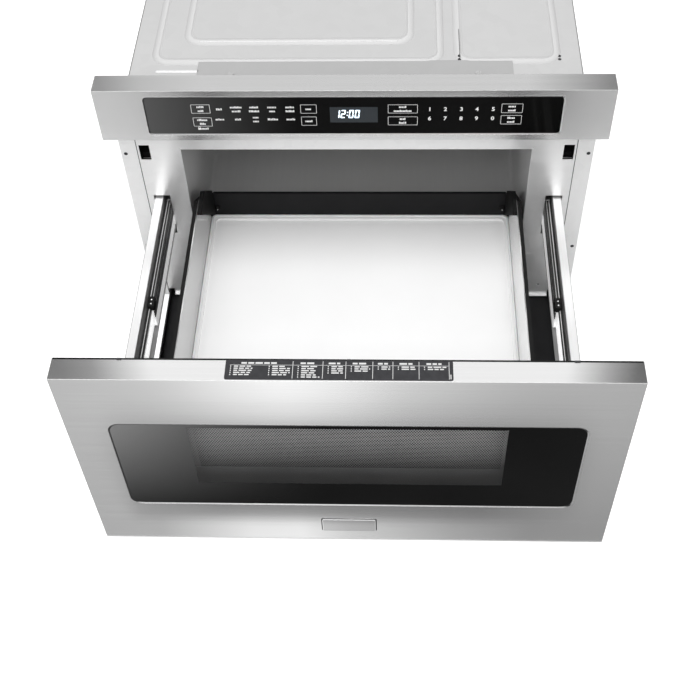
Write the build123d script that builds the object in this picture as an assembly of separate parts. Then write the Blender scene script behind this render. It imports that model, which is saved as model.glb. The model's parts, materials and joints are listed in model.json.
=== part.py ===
from build123d import *
import math
import os

os.makedirs("parts", exist_ok=True)

# A built-in microwave oven whose whole front slides out as a drawer.
# Millimetres. X runs to the right, Y to the back and Z up. The origin is on the symmetry plane, on the
# underside of the base pan, in the plane of the cabinet face that the mounting flanges lie on.
# Every moving piece is drawn with the drawer closed and then shifted forward to the open pose.

# ---- front of the appliance ----
front_width = 606.0
overall_height = 401.0
panel_height = 74.0
panel_depth = 28.8
front_gap = 2.0  # between the control panel and the door
floor_gap = 2.0  # under the door
skin = 1.2  # stainless sheet of panel and door
drawer_travel = 359.0

# ---- case ----
front_overhang = 30.0  # how far the front stands out past each side of the case
panel_rise = 27.0  # how far the control panel stands above the case
case_depth = 565.0
case_sheet = 0.8
pan_sheet = 1.2
frame_sheet = 1.2
cover_sheet = 1.0
rear_flange = 12.0
pan_flange = 14.0
flange_reach = 21.0  # how far a mounting flange stands out from the case
flange_leg = 14.0
flange_bottom = 11.0
flange_hole_offset = 15.0  # from the case's side
flange_hole_low = 113.0
flange_hole_pitch = 166.0
flange_hole_radius = 2.5
emboss_step = 2.0
emboss_corner = 14.0
emboss_margin = 32.0  # from the case's sides
emboss_inset = 36.0  # from the outer step to the inner one
emboss_front = 60.0
emboss_rear = 40.0  # from the case's rear edge
emboss_split = 114.0
emboss_split_gap = 28.0
vent_count = 9
vent_pitch = 16.0
vent_width = 6.0
vent_height = 36.0
rib_step = 2.0

# ---- cavity ----
side_space = 55.0  # between the case's side and the cavity's inside
top_space = 84.0  # between the cavity's ceiling and the case's top
rear_space = 131.0  # behind the cavity, for the microwave source and the fan
cavity_floor = 95.0
cavity_sheet = 0.8
cavity_flange = 8.0
cavity_corner = 6.0
ceiling_lip = 4.0  # how far the front frame hangs below the ceiling
lamp_radius = 12.0

# ---- slides, measured outward from the symmetry plane ----
slide_offset = 22.0  # from the cavity's inside to the fixed rail
slide_rise = 78.0  # from the cavity's floor to the slide's middle
slide_length = 400.0
slide_start = 2.0
rail_sheet = 1.2
fixed_half_height = 23.0
fixed_depth = 10.0
fixed_lip = 1.6
outer_ball_radius = 1.65
inner_ball_radius = 1.35
ball_clearance = 0.15
web_gap = 2.4  # between the web of the fixed rail and that of the middle rail
mid_depth = 6.8
mid_lip = 0.8
inner_flange_gap = 2.0  # between the middle rail's web and the drawer rail's flanges
rail_gap = 0.4
cage_sheet = 0.8
cage_length = 200.0
ball_count = 8
support_length = 40.0
support_height = 28.0
support_foot = 9.0
support_sheet = 1.5
bracket_sheet = 1.6
bracket_rise = 31.0  # from the slide's middle to the top of the bracket
bracket_drop = 25.6
bracket_shelf = 11.0
bracket_foot = 8.2
bracket_tab = 26.0

# ---- openings of the front frame ----
slot_side_gap = 0.6
slot_outer_gap = 1.5
slot_top_gap = 3.0
slot_bottom_gap = 10.4
latch_hole_width = 13.0
latch_hole_edge = 3.0  # from the case's side
latch_reach = 15.0  # how far the closed hook reaches behind the cabinet's face
latch_arm = 5.0
latch_base_sheet = 2.0
switch_depth = 46.0
switch_width = 12.0
switch_sheet = 1.6
latch_hole_drop = 56.0  # from the door's top to the lower edge of the hole
latch_hole_height = 24.0
frame_bottom = 14.0
frame_lip = 3.6
edge_notch_width = 6.4
notch_gap = 2.0

# ---- door ----
door_clearance = 0.8
door_inner_setback = 6.3  # inner frame ahead of the door's rear edge
door_glass_side = 45.5
door_glass_bottom = 80.0
door_glass_top = 79.0
door_glass_corner = 14.0
door_glass_sheet = 5.0
glass_joint = 0.4
glass_proud = 0.2
ledge = 9.0
window_side = 85.5  # from the glass's edge to the window
window_bottom = 47.0
window_top = 7.0
screen_overlap = 14.0
screen_rise = 11.0
screen_sheet = 1.0
badge_x = -3.0
badge_width = 64.0
badge_height = 26.0
badge_z = 35.5  # above the door's lower edge
badge_sheet = 1.4
label_left = -122.0
label_right = 110.0
label_depth = 25.0
label_sheet = 0.4

# ---- control panel ----
panel_glass_side = 58.0
panel_glass_bottom = 8.0
panel_glass_top = 9.0
panel_glass_sheet = 3.0
panel_glass_corner = 2.0
panel_return = 13.0
display_x = 1.0
display_width = 56.0
display_z = 38.0  # above the panel's lower edge
display_height = 23.0
display_depth = 12.2
board_sheet = 1.6
relay_count = 5
relay_pitch = 62.0
top_bracket_half = 190.0
top_bracket_reach = 58.0

# ---- tray ----
tray_side_gap = 6.0
tray_floor_gap = 5.0
tray_rear_gap = 8.0
tray_height = 98.0
tray_sheet = 1.2
trim_thickness = 4.8
tray_slant = 69.0
rear_bar_height = 44.0
rear_bar_sheet = 4.0
rear_bar_chamfer = 6.4
plate_sheet = 4.0
plate_rim = 2.4
plate_rim_width = 6.0
plate_joint = 0.5
tray_front_wall = 28.0
tray_rear_wall = 30.0
glide_gap = 0.3
tray_glide_width = 18.0
tray_glide_length = 18.0
tray_glide_edge = 16.0  # from the tray's inside
tray_glide_end = 6.0  # from the tray's rear

# ---- drawer base plate and drive ----
base_plate_bottom = 10.0
base_plate_sheet = 2.0
base_plate_gap = 0.6
base_plate_lip = 12.0
base_plate_front = 30.0
base_plate_length = 400.0
rack_x = 150.0
rack_width = 10.0
rack_base = 4.0
rack_start = 20.0
rack_length = 375.0
drive_module = 2.0
drive_teeth = 16
gear_module = 1.25
gear_teeth = 32
motor_teeth = 16
tooth_addendum = 0.9
tooth_dedendum = 1.25
rack_backlash = 0.6
gear_backlash = 0.5
pressure_angle = math.radians(20)
shaft_y = 28.0
shaft_radius = 4.0
running_gap = 0.05
press_gap = 0.02
gear_x = 58.0
gear_width = 8.0
hub_radius = 9.0
drive_bracket_sheet = 3.0
motor_radius = 18.5
motor_length = 60.0
spindle_radius = 3.0
bearing_plate_drop = 13.0  # below the shaft
bearing_plate_rise = 20.0  # above the shaft
bearing_foot_width = 14.0
bearing_foot_sheet = 2.0
bearing_plate_end = 10.0  # behind the shaft
base_glide_width = 22.0
base_glide_length = 20.0
base_glide_pitch = 25.0
base_glide_edge = 18.0  # from the base plate's side
base_glide_start = 4.0
through = 20.0  # how far a cut runs past what it cuts

# ---- cooling, microwave source and small parts ----
stirrer_cover_half = 95.0
stirrer_cover_depth = 18.0
stirrer_cover_wall = 2.0
stirrer_reach = 72.0
stirrer_shaft_radius = 2.0
stirrer_motor_radius = 24.0
stirrer_motor_height = 15.0
waveguide_half = 48.0
waveguide_height = 44.0
waveguide_sheet = 1.0
waveguide_port = 29.0
rear_bay = 65.0  # from the case's rear edge to the middle of the rear bay
magnetron_width = 90.0
magnetron_length = 72.0
magnetron_height = 78.0
magnetron_fins = 7
transformer_x = -177.5
transformer_width = 95.0
transformer_length = 56.0
transformer_height = 86.0
capacitor_x = -85.0
capacitor_width = 54.0
capacitor_thickness = 34.0
capacitor_height = 80.0
fan_x = 170.0
fan_frame = 124.0
fan_depth = 40.0
fan_bore = 58.0
fan_tip_gap = 4.0
fan_hub_radius = 17.0
fan_shaft_radius = 2.5
fan_motor_radius = 22.0
fan_motor_length = 32.0
fan_blades = 7
inlet_x = 150.0
inlet_drop = 44.0  # below the top of the case
inlet_radius = 8.0
screw_head = 3.6
screw_shank = 1.6
screw_hole = 1.65
screw_head_height = 2.2
screw_grip = 2.4  # how far a screw reaches past the sheet that it holds
cover_screw_length = 7.0

# ---- places that follow from the sizes above ----
front_half = front_width / 2
case_half = front_half - front_overhang
case_height = overall_height - panel_rise
cavity_half = case_half - side_space
cavity_ceiling = case_height - top_space
cavity_depth = case_depth - rear_space
slide_z = cavity_floor + slide_rise
frame_front = -frame_sheet
front_plane = frame_front - panel_depth
panel_bottom = overall_height - panel_height
panel_glass_half = front_half - panel_glass_side
panel_glass_z = (panel_bottom + panel_glass_bottom, overall_height - panel_glass_top)
door_top = panel_bottom - front_gap
door_rear = frame_front - door_clearance
door_glass_half = front_half - door_glass_side
door_glass_z = (floor_gap + door_glass_bottom, door_top - door_glass_top)
window_half = door_glass_half - window_side
window_z = (door_glass_z[0] + window_bottom, door_glass_z[1] - window_top)
inner_frame_rear = door_rear - door_inner_setback
inner_frame_front = inner_frame_rear - skin
flange_hole_x = case_half + flange_hole_offset
opening_top = cavity_ceiling - ceiling_lip
lamp_y = cavity_depth * 0.7
lamp_z = cavity_ceiling - 40
cover_rear = case_depth + cover_sheet
bay_y = case_depth - rear_bay
magnetron_y = bay_y - 10
mid_travel = drawer_travel / 2
outer_cage_travel = drawer_travel / 4
inner_cage_travel = drawer_travel * 3 / 4
latch_hole_x = (case_half - latch_hole_edge - latch_hole_width, case_half - latch_hole_edge)
latch_hole_z = (door_top - latch_hole_drop, door_top - latch_hole_drop + latch_hole_height)
tray_outer_half = cavity_half - tray_side_gap
tray_inner_half = tray_outer_half - trim_thickness - tray_sheet
tray_bottom = cavity_floor + tray_floor_gap
tray_top = tray_bottom + tray_height
tray_rear = cavity_depth - tray_rear_gap
tray_slant_start = tray_rear - tray_slant
plate_bottom = tray_bottom + tray_sheet
base_plate_half = case_half - case_sheet - pan_sheet - base_plate_gap
edge_notch_in = base_plate_half - edge_notch_width
edge_notch_top = base_plate_bottom + base_plate_lip + notch_gap
plate_top = base_plate_bottom + base_plate_sheet
drive_radius = drive_module * drive_teeth / 2
rack_root = plate_top + rack_base
rack_pitch_z = rack_root + tooth_dedendum * drive_module
shaft_z = rack_pitch_z + drive_radius
gear_distance = gear_module * (gear_teeth + motor_teeth) / 2
motor_y = shaft_y + gear_distance
stirrer_y = cavity_depth / 2
waveguide_floor = cavity_ceiling + cavity_sheet
waveguide_top = waveguide_floor + waveguide_height
fan_z = pan_sheet + fan_frame / 2
fan_rear = case_depth - pan_sheet
fan_front = fan_rear - fan_depth
inlet_z = case_height - inlet_drop
slide_x = cavity_half + slide_offset
fixed_inner_z = fixed_half_height - rail_sheet
mid_x = slide_x + rail_sheet + web_gap
mid_half_height = fixed_inner_z - 2 * (outer_ball_radius + ball_clearance)
mid_inner_z = mid_half_height - rail_sheet
drawer_half_height = mid_inner_z - 2 * (inner_ball_radius + ball_clearance)
bracket_x = mid_x + mid_depth + rail_gap + rail_sheet
bracket_top = slide_z + bracket_rise
bracket_bottom = slide_z - bracket_drop
slide_y = (slide_start, slide_start + slide_length)
rail_slot_x = (mid_x - slot_side_gap, bracket_x + bracket_shelf + slot_outer_gap)
rail_slot_z = (bracket_bottom - slot_bottom_gap, bracket_top + slot_top_gap)
board_front = front_plane - glass_proud + panel_glass_sheet + display_depth


def block(x, y, z):
    centre = Pos((x[0] + x[1]) / 2, (y[0] + y[1]) / 2, (z[0] + z[1]) / 2)
    return centre * Box(x[1] - x[0], y[1] - y[0], z[1] - z[0])


def upright_block(x, y, z, corner):
    """A block whose corners are rounded as seen from the front."""
    outline = Pos((x[0] + x[1]) / 2, (z[0] + z[1]) / 2) * RectangleRounded(x[1] - x[0], z[1] - z[0], corner)
    return Pos(0, y[1], 0) * extrude(Plane.XZ * outline, amount=y[1] - y[0])


def flat_block(x, y, z, corner):
    """A block whose corners are rounded as seen from above."""
    outline = Pos((x[0] + x[1]) / 2, (y[0] + y[1]) / 2) * RectangleRounded(x[1] - x[0], y[1] - y[0], corner)
    return Pos(0, 0, z[0]) * extrude(outline, amount=z[1] - z[0])


def rod_x(x, y, z, radius):
    return Pos((x[0] + x[1]) / 2, y, z) * Rot(0, 90, 0) * Cylinder(radius, x[1] - x[0])


def rod_y(x, y, z, radius):
    return Pos(x, (y[0] + y[1]) / 2, z) * Rot(90, 0, 0) * Cylinder(radius, y[1] - y[0])


def rod_z(x, y, z, radius):
    return Pos(x, y, (z[0] + z[1]) / 2) * Cylinder(radius, z[1] - z[0])


def grow(span, margin):
    return (span[0] - margin, span[1] + margin)


def mirrored(shape):
    return mirror(shape, about=Plane.YZ)


def pair(shape):
    return [shape, mirrored(shape)]


def slots(x, z, y, rows, columns, width, height):
    """A grid of ventilation slots through a wall that faces Y."""
    step_x = (x[1] - x[0]) / columns
    step_z = (z[1] - z[0]) / rows
    cuts = []
    for row in range(rows):
        for column in range(columns):
            middle_x = x[0] + step_x * (column + 0.5)
            middle_z = z[0] + step_z * (row + 0.5)
            span_x = (middle_x - width / 2, middle_x + width / 2)
            span_z = (middle_z - height / 2, middle_z + height / 2)
            cuts.append(block(span_x, y, span_z))
    return cuts


def rear_screw_places():
    """Where the screws of the rear cover go, as points (x, z)."""
    top = case_height - rear_flange / 2
    side = case_half - rear_flange / 2
    places = [(share * case_half, top) for share in (-0.7, 0, 0.7)]
    for height in (0.2, 0.5, 0.8):
        places += [(-side, height * case_height), (side, height * case_height)]
    places += [(-0.55 * case_half, pan_flange / 2 + pan_sheet), (0.1 * case_half, pan_flange / 2 + pan_sheet)]
    return places


def flange_screw_places():
    return [(sign * top_bracket_half * 0.78, top_bracket_reach * 0.55) for sign in (-1, 1)]


# ---- case pieces ----
def case_wrap():
    outside = block((-case_half, case_half), (0, case_depth), (0, case_height))
    inner_half = case_half - case_sheet
    inside = block((-inner_half, inner_half), (-1, case_depth - case_sheet), (-1, case_height - case_sheet))
    mouth_half = case_half - rear_flange
    mouth = block((-mouth_half, mouth_half), (0, case_depth + 1), (-1, case_height - rear_flange))
    shell = outside - inside - mouth
    shell -= block((-inner_half, inner_half), (case_depth - 1, case_depth + 1), (-1, pan_sheet))
    edge = case_half - emboss_margin
    split = emboss_split_gap / 2
    y = (emboss_front, case_depth - emboss_rear)
    left_x = (-edge, emboss_split - split)
    pads = [(left_x, y, 0), (grow(left_x, -emboss_inset), grow(y, -emboss_inset), emboss_step)]
    pads.append(((emboss_split + split, edge), y, 0))
    for pad_x, pad_y, rise in pads:
        level = case_height + rise
        shell += flat_block(pad_x, pad_y, (level, level + emboss_step), emboss_corner)
        hollow_z = (level - case_sheet, level + emboss_step - case_sheet)
        hollow = (grow(pad_x, -case_sheet), grow(pad_y, -case_sheet), hollow_z)
        shell -= flat_block(*hollow, emboss_corner - case_sheet)
    vents = []
    for row in (1, 2):
        for column in range(vent_count):
            middle_y = case_depth - emboss_rear - vent_pitch * column
            top = case_height + vent_width - row * (vent_height + 2 * vent_width)
            vent_y = (middle_y - vent_width / 2, middle_y + vent_width / 2)
            vents += pair(block((inner_half - 1, case_half + 1), vent_y, (top - vent_height, top)))
    holes = [rod_y(x, (case_depth - 2, case_depth + 1), z, screw_hole) for x, z in rear_screw_places()]
    holes += [rod_z(x, y, (case_height - 2, case_height + 1), screw_hole) for x, y in flange_screw_places()]
    return shell - vents - holes


def base_pan():
    half = case_half - case_sheet
    rear = case_depth
    pan = block((-half, half), (frame_front, rear), (0, pan_sheet))
    wall_z = (0, pan_flange)
    pan += block((-half, -half + pan_sheet), (0, rear), wall_z)
    pan += block((half - pan_sheet, half), (0, rear), wall_z)
    rear_wall = rear - pan_sheet
    clear_half = case_half - rear_flange - 0.5
    pan -= block((-half, half), (rear - case_sheet - 0.3, rear + 1), (pan_sheet, pan_flange + 1))
    pan += block((-clear_half, clear_half), (rear_wall, rear), wall_z)
    for share in (-0.6, -0.2, 0.2, 0.6):
        rib_x = (share * half - 9, share * half + 9)
        rib_y = (emboss_front, rear - 2 * rear_bay)
        pan += flat_block(rib_x, rib_y, (pan_sheet, pan_sheet + rib_step), 8)
        pan -= flat_block(grow(rib_x, -pan_sheet), grow(rib_y, -pan_sheet), (-1, rib_step), 8 - pan_sheet)
    holes = [rod_y(x, (rear - 3, rear + 1), z, screw_hole) for x, z in rear_screw_places() if z < pan_flange]
    return pan - holes


def rear_cover():
    cover = block((-case_half, case_half), (case_depth, cover_rear), (0, case_height))
    y = (case_depth - 1, cover_rear + 1)
    fan_ring = rod_y(fan_x, y, fan_z, fan_bore - 2)
    ring_x = grow((fan_x, fan_x), fan_bore - 2)
    ring_z = grow((fan_z, fan_z), fan_bore - 2)
    cover -= [fan_ring & slot for slot in slots(ring_x, ring_z, y, 12, 2, fan_bore - 10, 4.5)]
    outlet_x = (-0.8 * case_half, -0.15 * case_half)
    cover -= slots(outlet_x, (case_height - 124, case_height - 34), y, 8, 3, 50, 4.5)
    cover -= rod_y(inlet_x, y, inlet_z, inlet_radius + 0.1)
    return cover - [rod_y(x, y, z, screw_hole) for x, z in rear_screw_places()]


def front_frame():
    half = case_half - 0.6
    y = (frame_front, 0)
    cut_y = (frame_front - frame_lip - 1, 1)
    frame = block((-half, half), y, (frame_bottom, case_height))
    frame += block((-half, half), (frame_front - frame_lip, 0), (frame_bottom, frame_bottom + frame_sheet))
    frame -= block((-cavity_half, cavity_half), cut_y, (cavity_floor, opening_top))
    cuts = pair(block(rail_slot_x, cut_y, rail_slot_z))
    cuts += pair(block(latch_hole_x, cut_y, latch_hole_z))
    cuts += pair(block((edge_notch_in, half + 1), cut_y, (0, edge_notch_top)))
    cuts += pair(block((rack_x - rack_width, rack_x + rack_width), cut_y, (0, edge_notch_top)))
    for length, drop in ((9, 5), (6, -4)):
        slit_x = (cavity_half + 7, cavity_half + 7 + length)
        cuts += pair(block(slit_x, cut_y, grow((cavity_floor + drop, cavity_floor + drop), 0.6)))
    cuts += pair(rod_y(cavity_half + 1.5, cut_y, opening_top + 1.5, 1.2))
    cuts += pair(rod_y(slide_x + 10, cut_y, edge_notch_top + 11, screw_shank))
    return frame - cuts


def mounting_flange():
    """The right-hand flange: it lies on the cabinet face and its leg is welded to the case."""
    strip = block((case_half - 0.2, case_half + flange_reach), (frame_front, 0), (flange_bottom, case_height - 2))
    leg = block((case_half, case_half + case_sheet), (frame_front, flange_leg), (flange_bottom, case_height - 2))
    holes = [
        rod_y(flange_hole_x, (frame_front - 1, 1), z, flange_hole_radius)
        for z in (flange_hole_low, flange_hole_low + flange_hole_pitch)
    ]
    return strip + leg - holes


def cavity_liner():
    x = (-cavity_half, cavity_half)
    z = (cavity_floor, cavity_ceiling)
    outer_corner = cavity_corner + cavity_sheet
    liner = upright_block(
        grow(x, cavity_sheet), (0, cavity_depth + cavity_sheet), grow(z, cavity_sheet), outer_corner
    )
    liner += upright_block(grow(x, cavity_flange), (0, cavity_sheet), grow(z, cavity_flange), outer_corner)
    liner -= upright_block(x, (-1, cavity_depth), z, cavity_corner)
    ceiling_z = (cavity_ceiling - 1, cavity_ceiling + 2)
    liner -= rod_z(0, stirrer_y, ceiling_z, waveguide_port)
    return liner - rod_x((cavity_half - 1, cavity_half + 2), lamp_y, lamp_z, lamp_radius)


def stirrer_cover():
    """The plastic dish that closes the microwave port in the cavity's ceiling."""
    half = stirrer_cover_half
    z = (cavity_ceiling - stirrer_cover_depth, cavity_ceiling)
    y = (stirrer_y - half, stirrer_y + half)
    dish = flat_block((-half, half), y, z, 20)
    wall = stirrer_cover_wall
    return dish - flat_block(grow((-half, half), -wall), grow(y, -wall), (z[0] + wall, z[1] + 1), 20 - wall)


def waveguide():
    x = (-waveguide_half, waveguide_half)
    y = (stirrer_y - waveguide_half, magnetron_y + magnetron_length / 2 + 2)
    z = (waveguide_floor, waveguide_top)
    duct = block(x, y, z) - block(*[grow(span, -waveguide_sheet) for span in (x, y, z)])
    duct -= rod_z(0, stirrer_y, (z[0] - 1, z[0] + 2), waveguide_port)
    duct -= rod_z(0, stirrer_y, (z[1] - 2, z[1] + 1), stirrer_shaft_radius + 0.6)
    return duct - rod_z(0, magnetron_y, (z[0] - 1, z[0] + 2), 12)


def stirrer_motor():
    z = (waveguide_top, waveguide_top + stirrer_motor_height)
    body = rod_z(0, stirrer_y, z, stirrer_motor_radius)
    ear = stirrer_motor_radius + 8
    ears = flat_block((-ear, ear), (stirrer_y - 7, stirrer_y + 7), (z[0], z[0] + 1.5), 6)
    return body + ears - rod_z(0, stirrer_y, (z[0] - 1, z[1] - 3), stirrer_shaft_radius + running_gap)


def stirrer_blade():
    low = cavity_ceiling - stirrer_cover_depth + stirrer_cover_wall + 3
    top = waveguide_top + stirrer_motor_height - 4
    wheel = rod_z(0, stirrer_y, (low, top), stirrer_shaft_radius)
    wheel += rod_z(0, stirrer_y, (low, low + 6), 4 * stirrer_shaft_radius)
    window = (stirrer_reach * 0.4, stirrer_reach * 0.8)
    for turn in (0, 120, 240):
        arm = block((0, stirrer_reach), (-9, 9), (low + 1, low + 2.2)) - block(window, (-4, 4), (low, low + 4))
        wheel += Pos(0, stirrer_y, 0) * Rot(0, 0, turn) * arm
    return wheel


def magnetron():
    top = waveguide_floor
    low = top - magnetron_height
    x = (-magnetron_width / 2, magnetron_width / 2)
    y = (magnetron_y - magnetron_length / 2, magnetron_y + magnetron_length / 2)
    yoke = block(x, y, (low, top)) - block(grow(x, 1), grow(y, -2), (low + 2, top - 2))
    tube = rod_z(0, magnetron_y, (low + 1, top - 1), magnetron_length / 4)
    tube += rod_z(0, magnetron_y, (top - 2, top + waveguide_height / 2), 9)
    step = magnetron_height / (magnetron_fins + 1)
    fins = []
    for number in range(1, magnetron_fins + 1):
        fin_z = low + step * number
        fins.append(block(grow(x, -5), grow(y, -1), (fin_z, fin_z + 0.8)))
    box = block(grow(x, -13), grow(y, -6), (low - 30, low + 1))
    socket = block((x[1] - 13.5, x[1] - 1), (magnetron_y - 14, magnetron_y + 14), (low - 22, low - 6))
    return yoke + tube + fins + box + socket


def transformer():
    x = (transformer_x - transformer_width / 2, transformer_x + transformer_width / 2)
    y = (bay_y - transformer_length / 2, bay_y + transformer_length / 2)
    core = block(x, y, (pan_sheet + 4, transformer_height))
    core += block(grow(x, 8), grow(y, -8), (pan_sheet, pan_sheet + 4.5))
    coil_x = grow(x, -15)
    coils = upright_block(coil_x, grow(y, 19), (0.23 * transformer_height, 0.54 * transformer_height), 8)
    coils += upright_block(coil_x, grow(y, 15), (0.58 * transformer_height, 0.84 * transformer_height), 8)
    return core + coils


def capacitor():
    outline = SlotOverall(capacitor_width, capacitor_thickness)
    can = Pos(0, 0, pan_sheet) * extrude(outline, amount=capacitor_height)
    top = pan_sheet + capacitor_height
    lugs = [block((x - 3, x + 3), (-0.6, 0.6), (top - 1, top + 11)) for x in (-8, 8)]
    band = SlotOverall(capacitor_width + 3, capacitor_thickness + 3) - outline
    strap = Pos(0, 0, capacitor_height / 2) * extrude(band, amount=14)
    back = capacitor_thickness / 2
    foot = block((-6, 6), (back - 0.5, back + 2.5), (pan_sheet, capacitor_height / 2 + 14))
    foot += block((-6, 6), (back, back + 14), (pan_sheet, pan_sheet + 2))
    return Pos(capacitor_x, bay_y, 0) * (can + lugs + strap + foot)


def fan_housing():
    half = fan_frame / 2
    y = (fan_front, fan_rear)
    frame = block((fan_x - half, fan_x + half), y, (pan_sheet, pan_sheet + fan_frame))
    frame -= rod_y(fan_x, (y[0] - 1, y[1] + 1), fan_z, fan_bore)
    arm_y = (fan_front, fan_front + 3)
    carrier = rod_y(fan_x, arm_y, fan_z, fan_motor_radius + 2)
    for turn in (0, 120, 240):
        arm = block((20, fan_bore + 1), arm_y, (-4, 4))
        carrier += Pos(fan_x, 0, fan_z) * Rot(0, turn, 0) * arm
    return frame + carrier - rod_y(fan_x, grow(arm_y, 1), fan_z, fan_shaft_radius + 1.5)


def fan_motor():
    front = fan_front - fan_motor_length
    body = rod_y(fan_x, (front, fan_front), fan_z, fan_motor_radius)
    core_x = grow((fan_x, fan_x), fan_motor_radius + 4)
    body += block(core_x, (front + 8, fan_front - 8), (fan_z - 15, fan_z + 15))
    return body - rod_y(fan_x, (front + 6, fan_front + 1), fan_z, fan_shaft_radius + running_gap)


def fan_wheel():
    y = (fan_front + 7, fan_rear - 8)
    hub = rod_y(fan_x, y, fan_z, fan_hub_radius)
    reach = rod_y(fan_x, y, fan_z, fan_bore - fan_tip_gap)
    blades = []
    for number in range(fan_blades):
        blade = Pos(fan_bore * 0.62, (y[0] + y[1]) / 2, 0) * Rot(40, 0, 0) * Box(50, 1.6, 34)
        blade = Pos(fan_x, 0, fan_z) * Rot(0, 360 / fan_blades * number, 0) * blade
        blades.append(blade & reach)
    shaft_ends = (fan_front - fan_motor_length + 8, y[0] + 1)
    return hub + blades + rod_y(fan_x, shaft_ends, fan_z, fan_shaft_radius)


def cavity_lamp():
    wall = cavity_half + cavity_sheet
    y = (lamp_y, lamp_y)
    z = (lamp_z, lamp_z)
    flange = block((wall, wall + 1.2), grow(y, lamp_radius + 8), grow(z, lamp_radius + 4))
    holder = block((wall + 1, wall + 26), grow(y, lamp_radius + 2), grow(z, lamp_radius))
    return flange + holder + rod_x((cavity_half - 0.6, wall + 2), lamp_y, lamp_z, lamp_radius - 0.4)


def power_inlet():
    """The empty cord gland in the rear cover."""
    gland = rod_y(inlet_x, (case_depth - 9, cover_rear + 6), inlet_z, inlet_radius)
    gland += rod_y(inlet_x, (cover_rear, cover_rear + 3), inlet_z, inlet_radius + 3)
    gland += rod_y(inlet_x, (case_depth - 5, case_depth), inlet_z, inlet_radius + 2)
    return gland - rod_y(inlet_x, (case_depth - 10, cover_rear + 7), inlet_z, inlet_radius - 3.5)


def screw_y(x, seat, z, length):
    """A pan-head screw driven towards the front, its head on the surface at seat."""
    head = rod_y(x, (seat, seat + screw_head_height), z, screw_head)
    return head + rod_y(x, (seat - length, seat + 0.5), z, screw_shank)


def case_screws():
    rear = [screw_y(x, cover_rear, z, cover_screw_length) for x, z in rear_screw_places()]
    seat = case_height + frame_sheet
    top = []
    for x, y in flange_screw_places():
        head = rod_z(x, y, (seat, seat + screw_head_height), screw_head)
        top.append(head + rod_z(x, y, (seat - cover_screw_length, seat + 0.5), screw_shank))
    return rear + top


# ---- control panel ----
def framed_front(z, rear, glass_half, glass_z, glass_corner, glass_sheet):
    """A folded stainless front with a glass opening and the ledge that the glass is bonded to."""
    x = (-front_half, front_half)
    shell = block(x, (front_plane, rear), z)
    shell -= block(grow(x, -skin), (front_plane + skin, rear + 1), grow(z, -skin))
    glass_x = (-glass_half, glass_half)
    ledge_front = front_plane - glass_proud + glass_sheet
    rim_y = (front_plane + skin / 2, ledge_front + skin)
    rim = upright_block(grow(glass_x, skin), rim_y, grow(glass_z, skin), glass_corner + skin)
    shell += rim
    shell -= upright_block(glass_x, (front_plane - 1, ledge_front), glass_z, glass_corner)
    cut_corner = max(glass_corner - ledge, 1)
    return shell - upright_block(grow(glass_x, -ledge), (front_plane, rear), grow(glass_z, -ledge), cut_corner)


def flush_glass(half, z, corner, sheet):
    x = grow((-half, half), -glass_joint)
    y = (front_plane - glass_proud, front_plane - glass_proud + sheet)
    return upright_block(x, y, grow(z, -glass_joint), corner - glass_joint)


def board_posts():
    """Bosses on the ledge that carry the control board, as points (x, z)."""
    middle_x = panel_glass_half - ledge / 2
    return [(x, z) for x in (-middle_x, middle_x) for z in grow(panel_glass_z, -12)]


def control_panel_shell():
    z = (panel_bottom, overall_height)
    shell = framed_front(z, frame_front, panel_glass_half, panel_glass_z, panel_glass_corner, panel_glass_sheet)
    return_z = (overall_height - panel_return, overall_height)
    shell += block((-front_half, front_half), (frame_front - skin, frame_front), return_z)
    ledge_rear = front_plane - glass_proud + panel_glass_sheet + skin
    for x, z_post in board_posts():
        shell += rod_y(x, (ledge_rear - skin / 2, board_front), z_post, 3)
    return shell


def touch_glass():
    return flush_glass(panel_glass_half, panel_glass_z, panel_glass_corner, panel_glass_sheet)


def display_module():
    glass_rear = front_plane - glass_proud + panel_glass_sheet
    x = grow((display_x, display_x), display_width / 2)
    z = grow((panel_bottom + display_z, panel_bottom + display_z), display_height / 2)
    return block(x, (glass_rear, board_front), z)


def control_board():
    x = grow((-panel_glass_half, panel_glass_half), 1)
    y = (board_front, board_front + board_sheet)
    board = block(x, y, grow(panel_glass_z, -6))
    relay_y = (y[1] - 0.5, y[1] + 8)
    middle_z = panel_bottom + panel_height / 2
    for number in range(relay_count):
        left = relay_pitch * (number - relay_count / 2)
        board += block((left, left + 20), relay_y, (middle_z - 4, middle_z + 12))
        board += rod_y(left + 38, relay_y, middle_z - 12, 5)
    return board


def panel_top_bracket():
    """Angle that ties the back of the control panel to the top of the case."""
    x = (-top_bracket_half, top_bracket_half)
    foot_z = (case_height, case_height + frame_sheet)
    angle = block(x, (frame_front, top_bracket_reach), foot_z)
    angle += block(x, (frame_front, 0), (case_height, overall_height - 1))
    return angle - [rod_z(px, py, grow(foot_z, 1), screw_hole) for px, py in flange_screw_places()]


# ---- slides, drawn on the right-hand side ----
def channel(x, half_height, lip):
    """A C-shaped rail whose web is at x[0] and which opens towards x[1]."""
    web_x = (x[0], x[0] + math.copysign(rail_sheet, x[1] - x[0]))
    lip_x = (x[1] - math.copysign(rail_sheet, x[1] - x[0]), x[1])
    low, high = slide_z - half_height, slide_z + half_height
    rail = block(sorted(web_x), slide_y, (low, high))
    rail += block(sorted(x), slide_y, (low, low + rail_sheet))
    rail += block(sorted(x), slide_y, (high - rail_sheet, high))
    if lip:
        rail += block(sorted(lip_x), slide_y, (low, low + rail_sheet + lip))
        rail += block(sorted(lip_x), slide_y, (high - rail_sheet - lip, high))
    return rail


def fixed_rail():
    return channel((slide_x, slide_x + fixed_depth), fixed_half_height, fixed_lip)


def mid_rail():
    return channel((mid_x, mid_x + mid_depth), mid_half_height, mid_lip)


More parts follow.
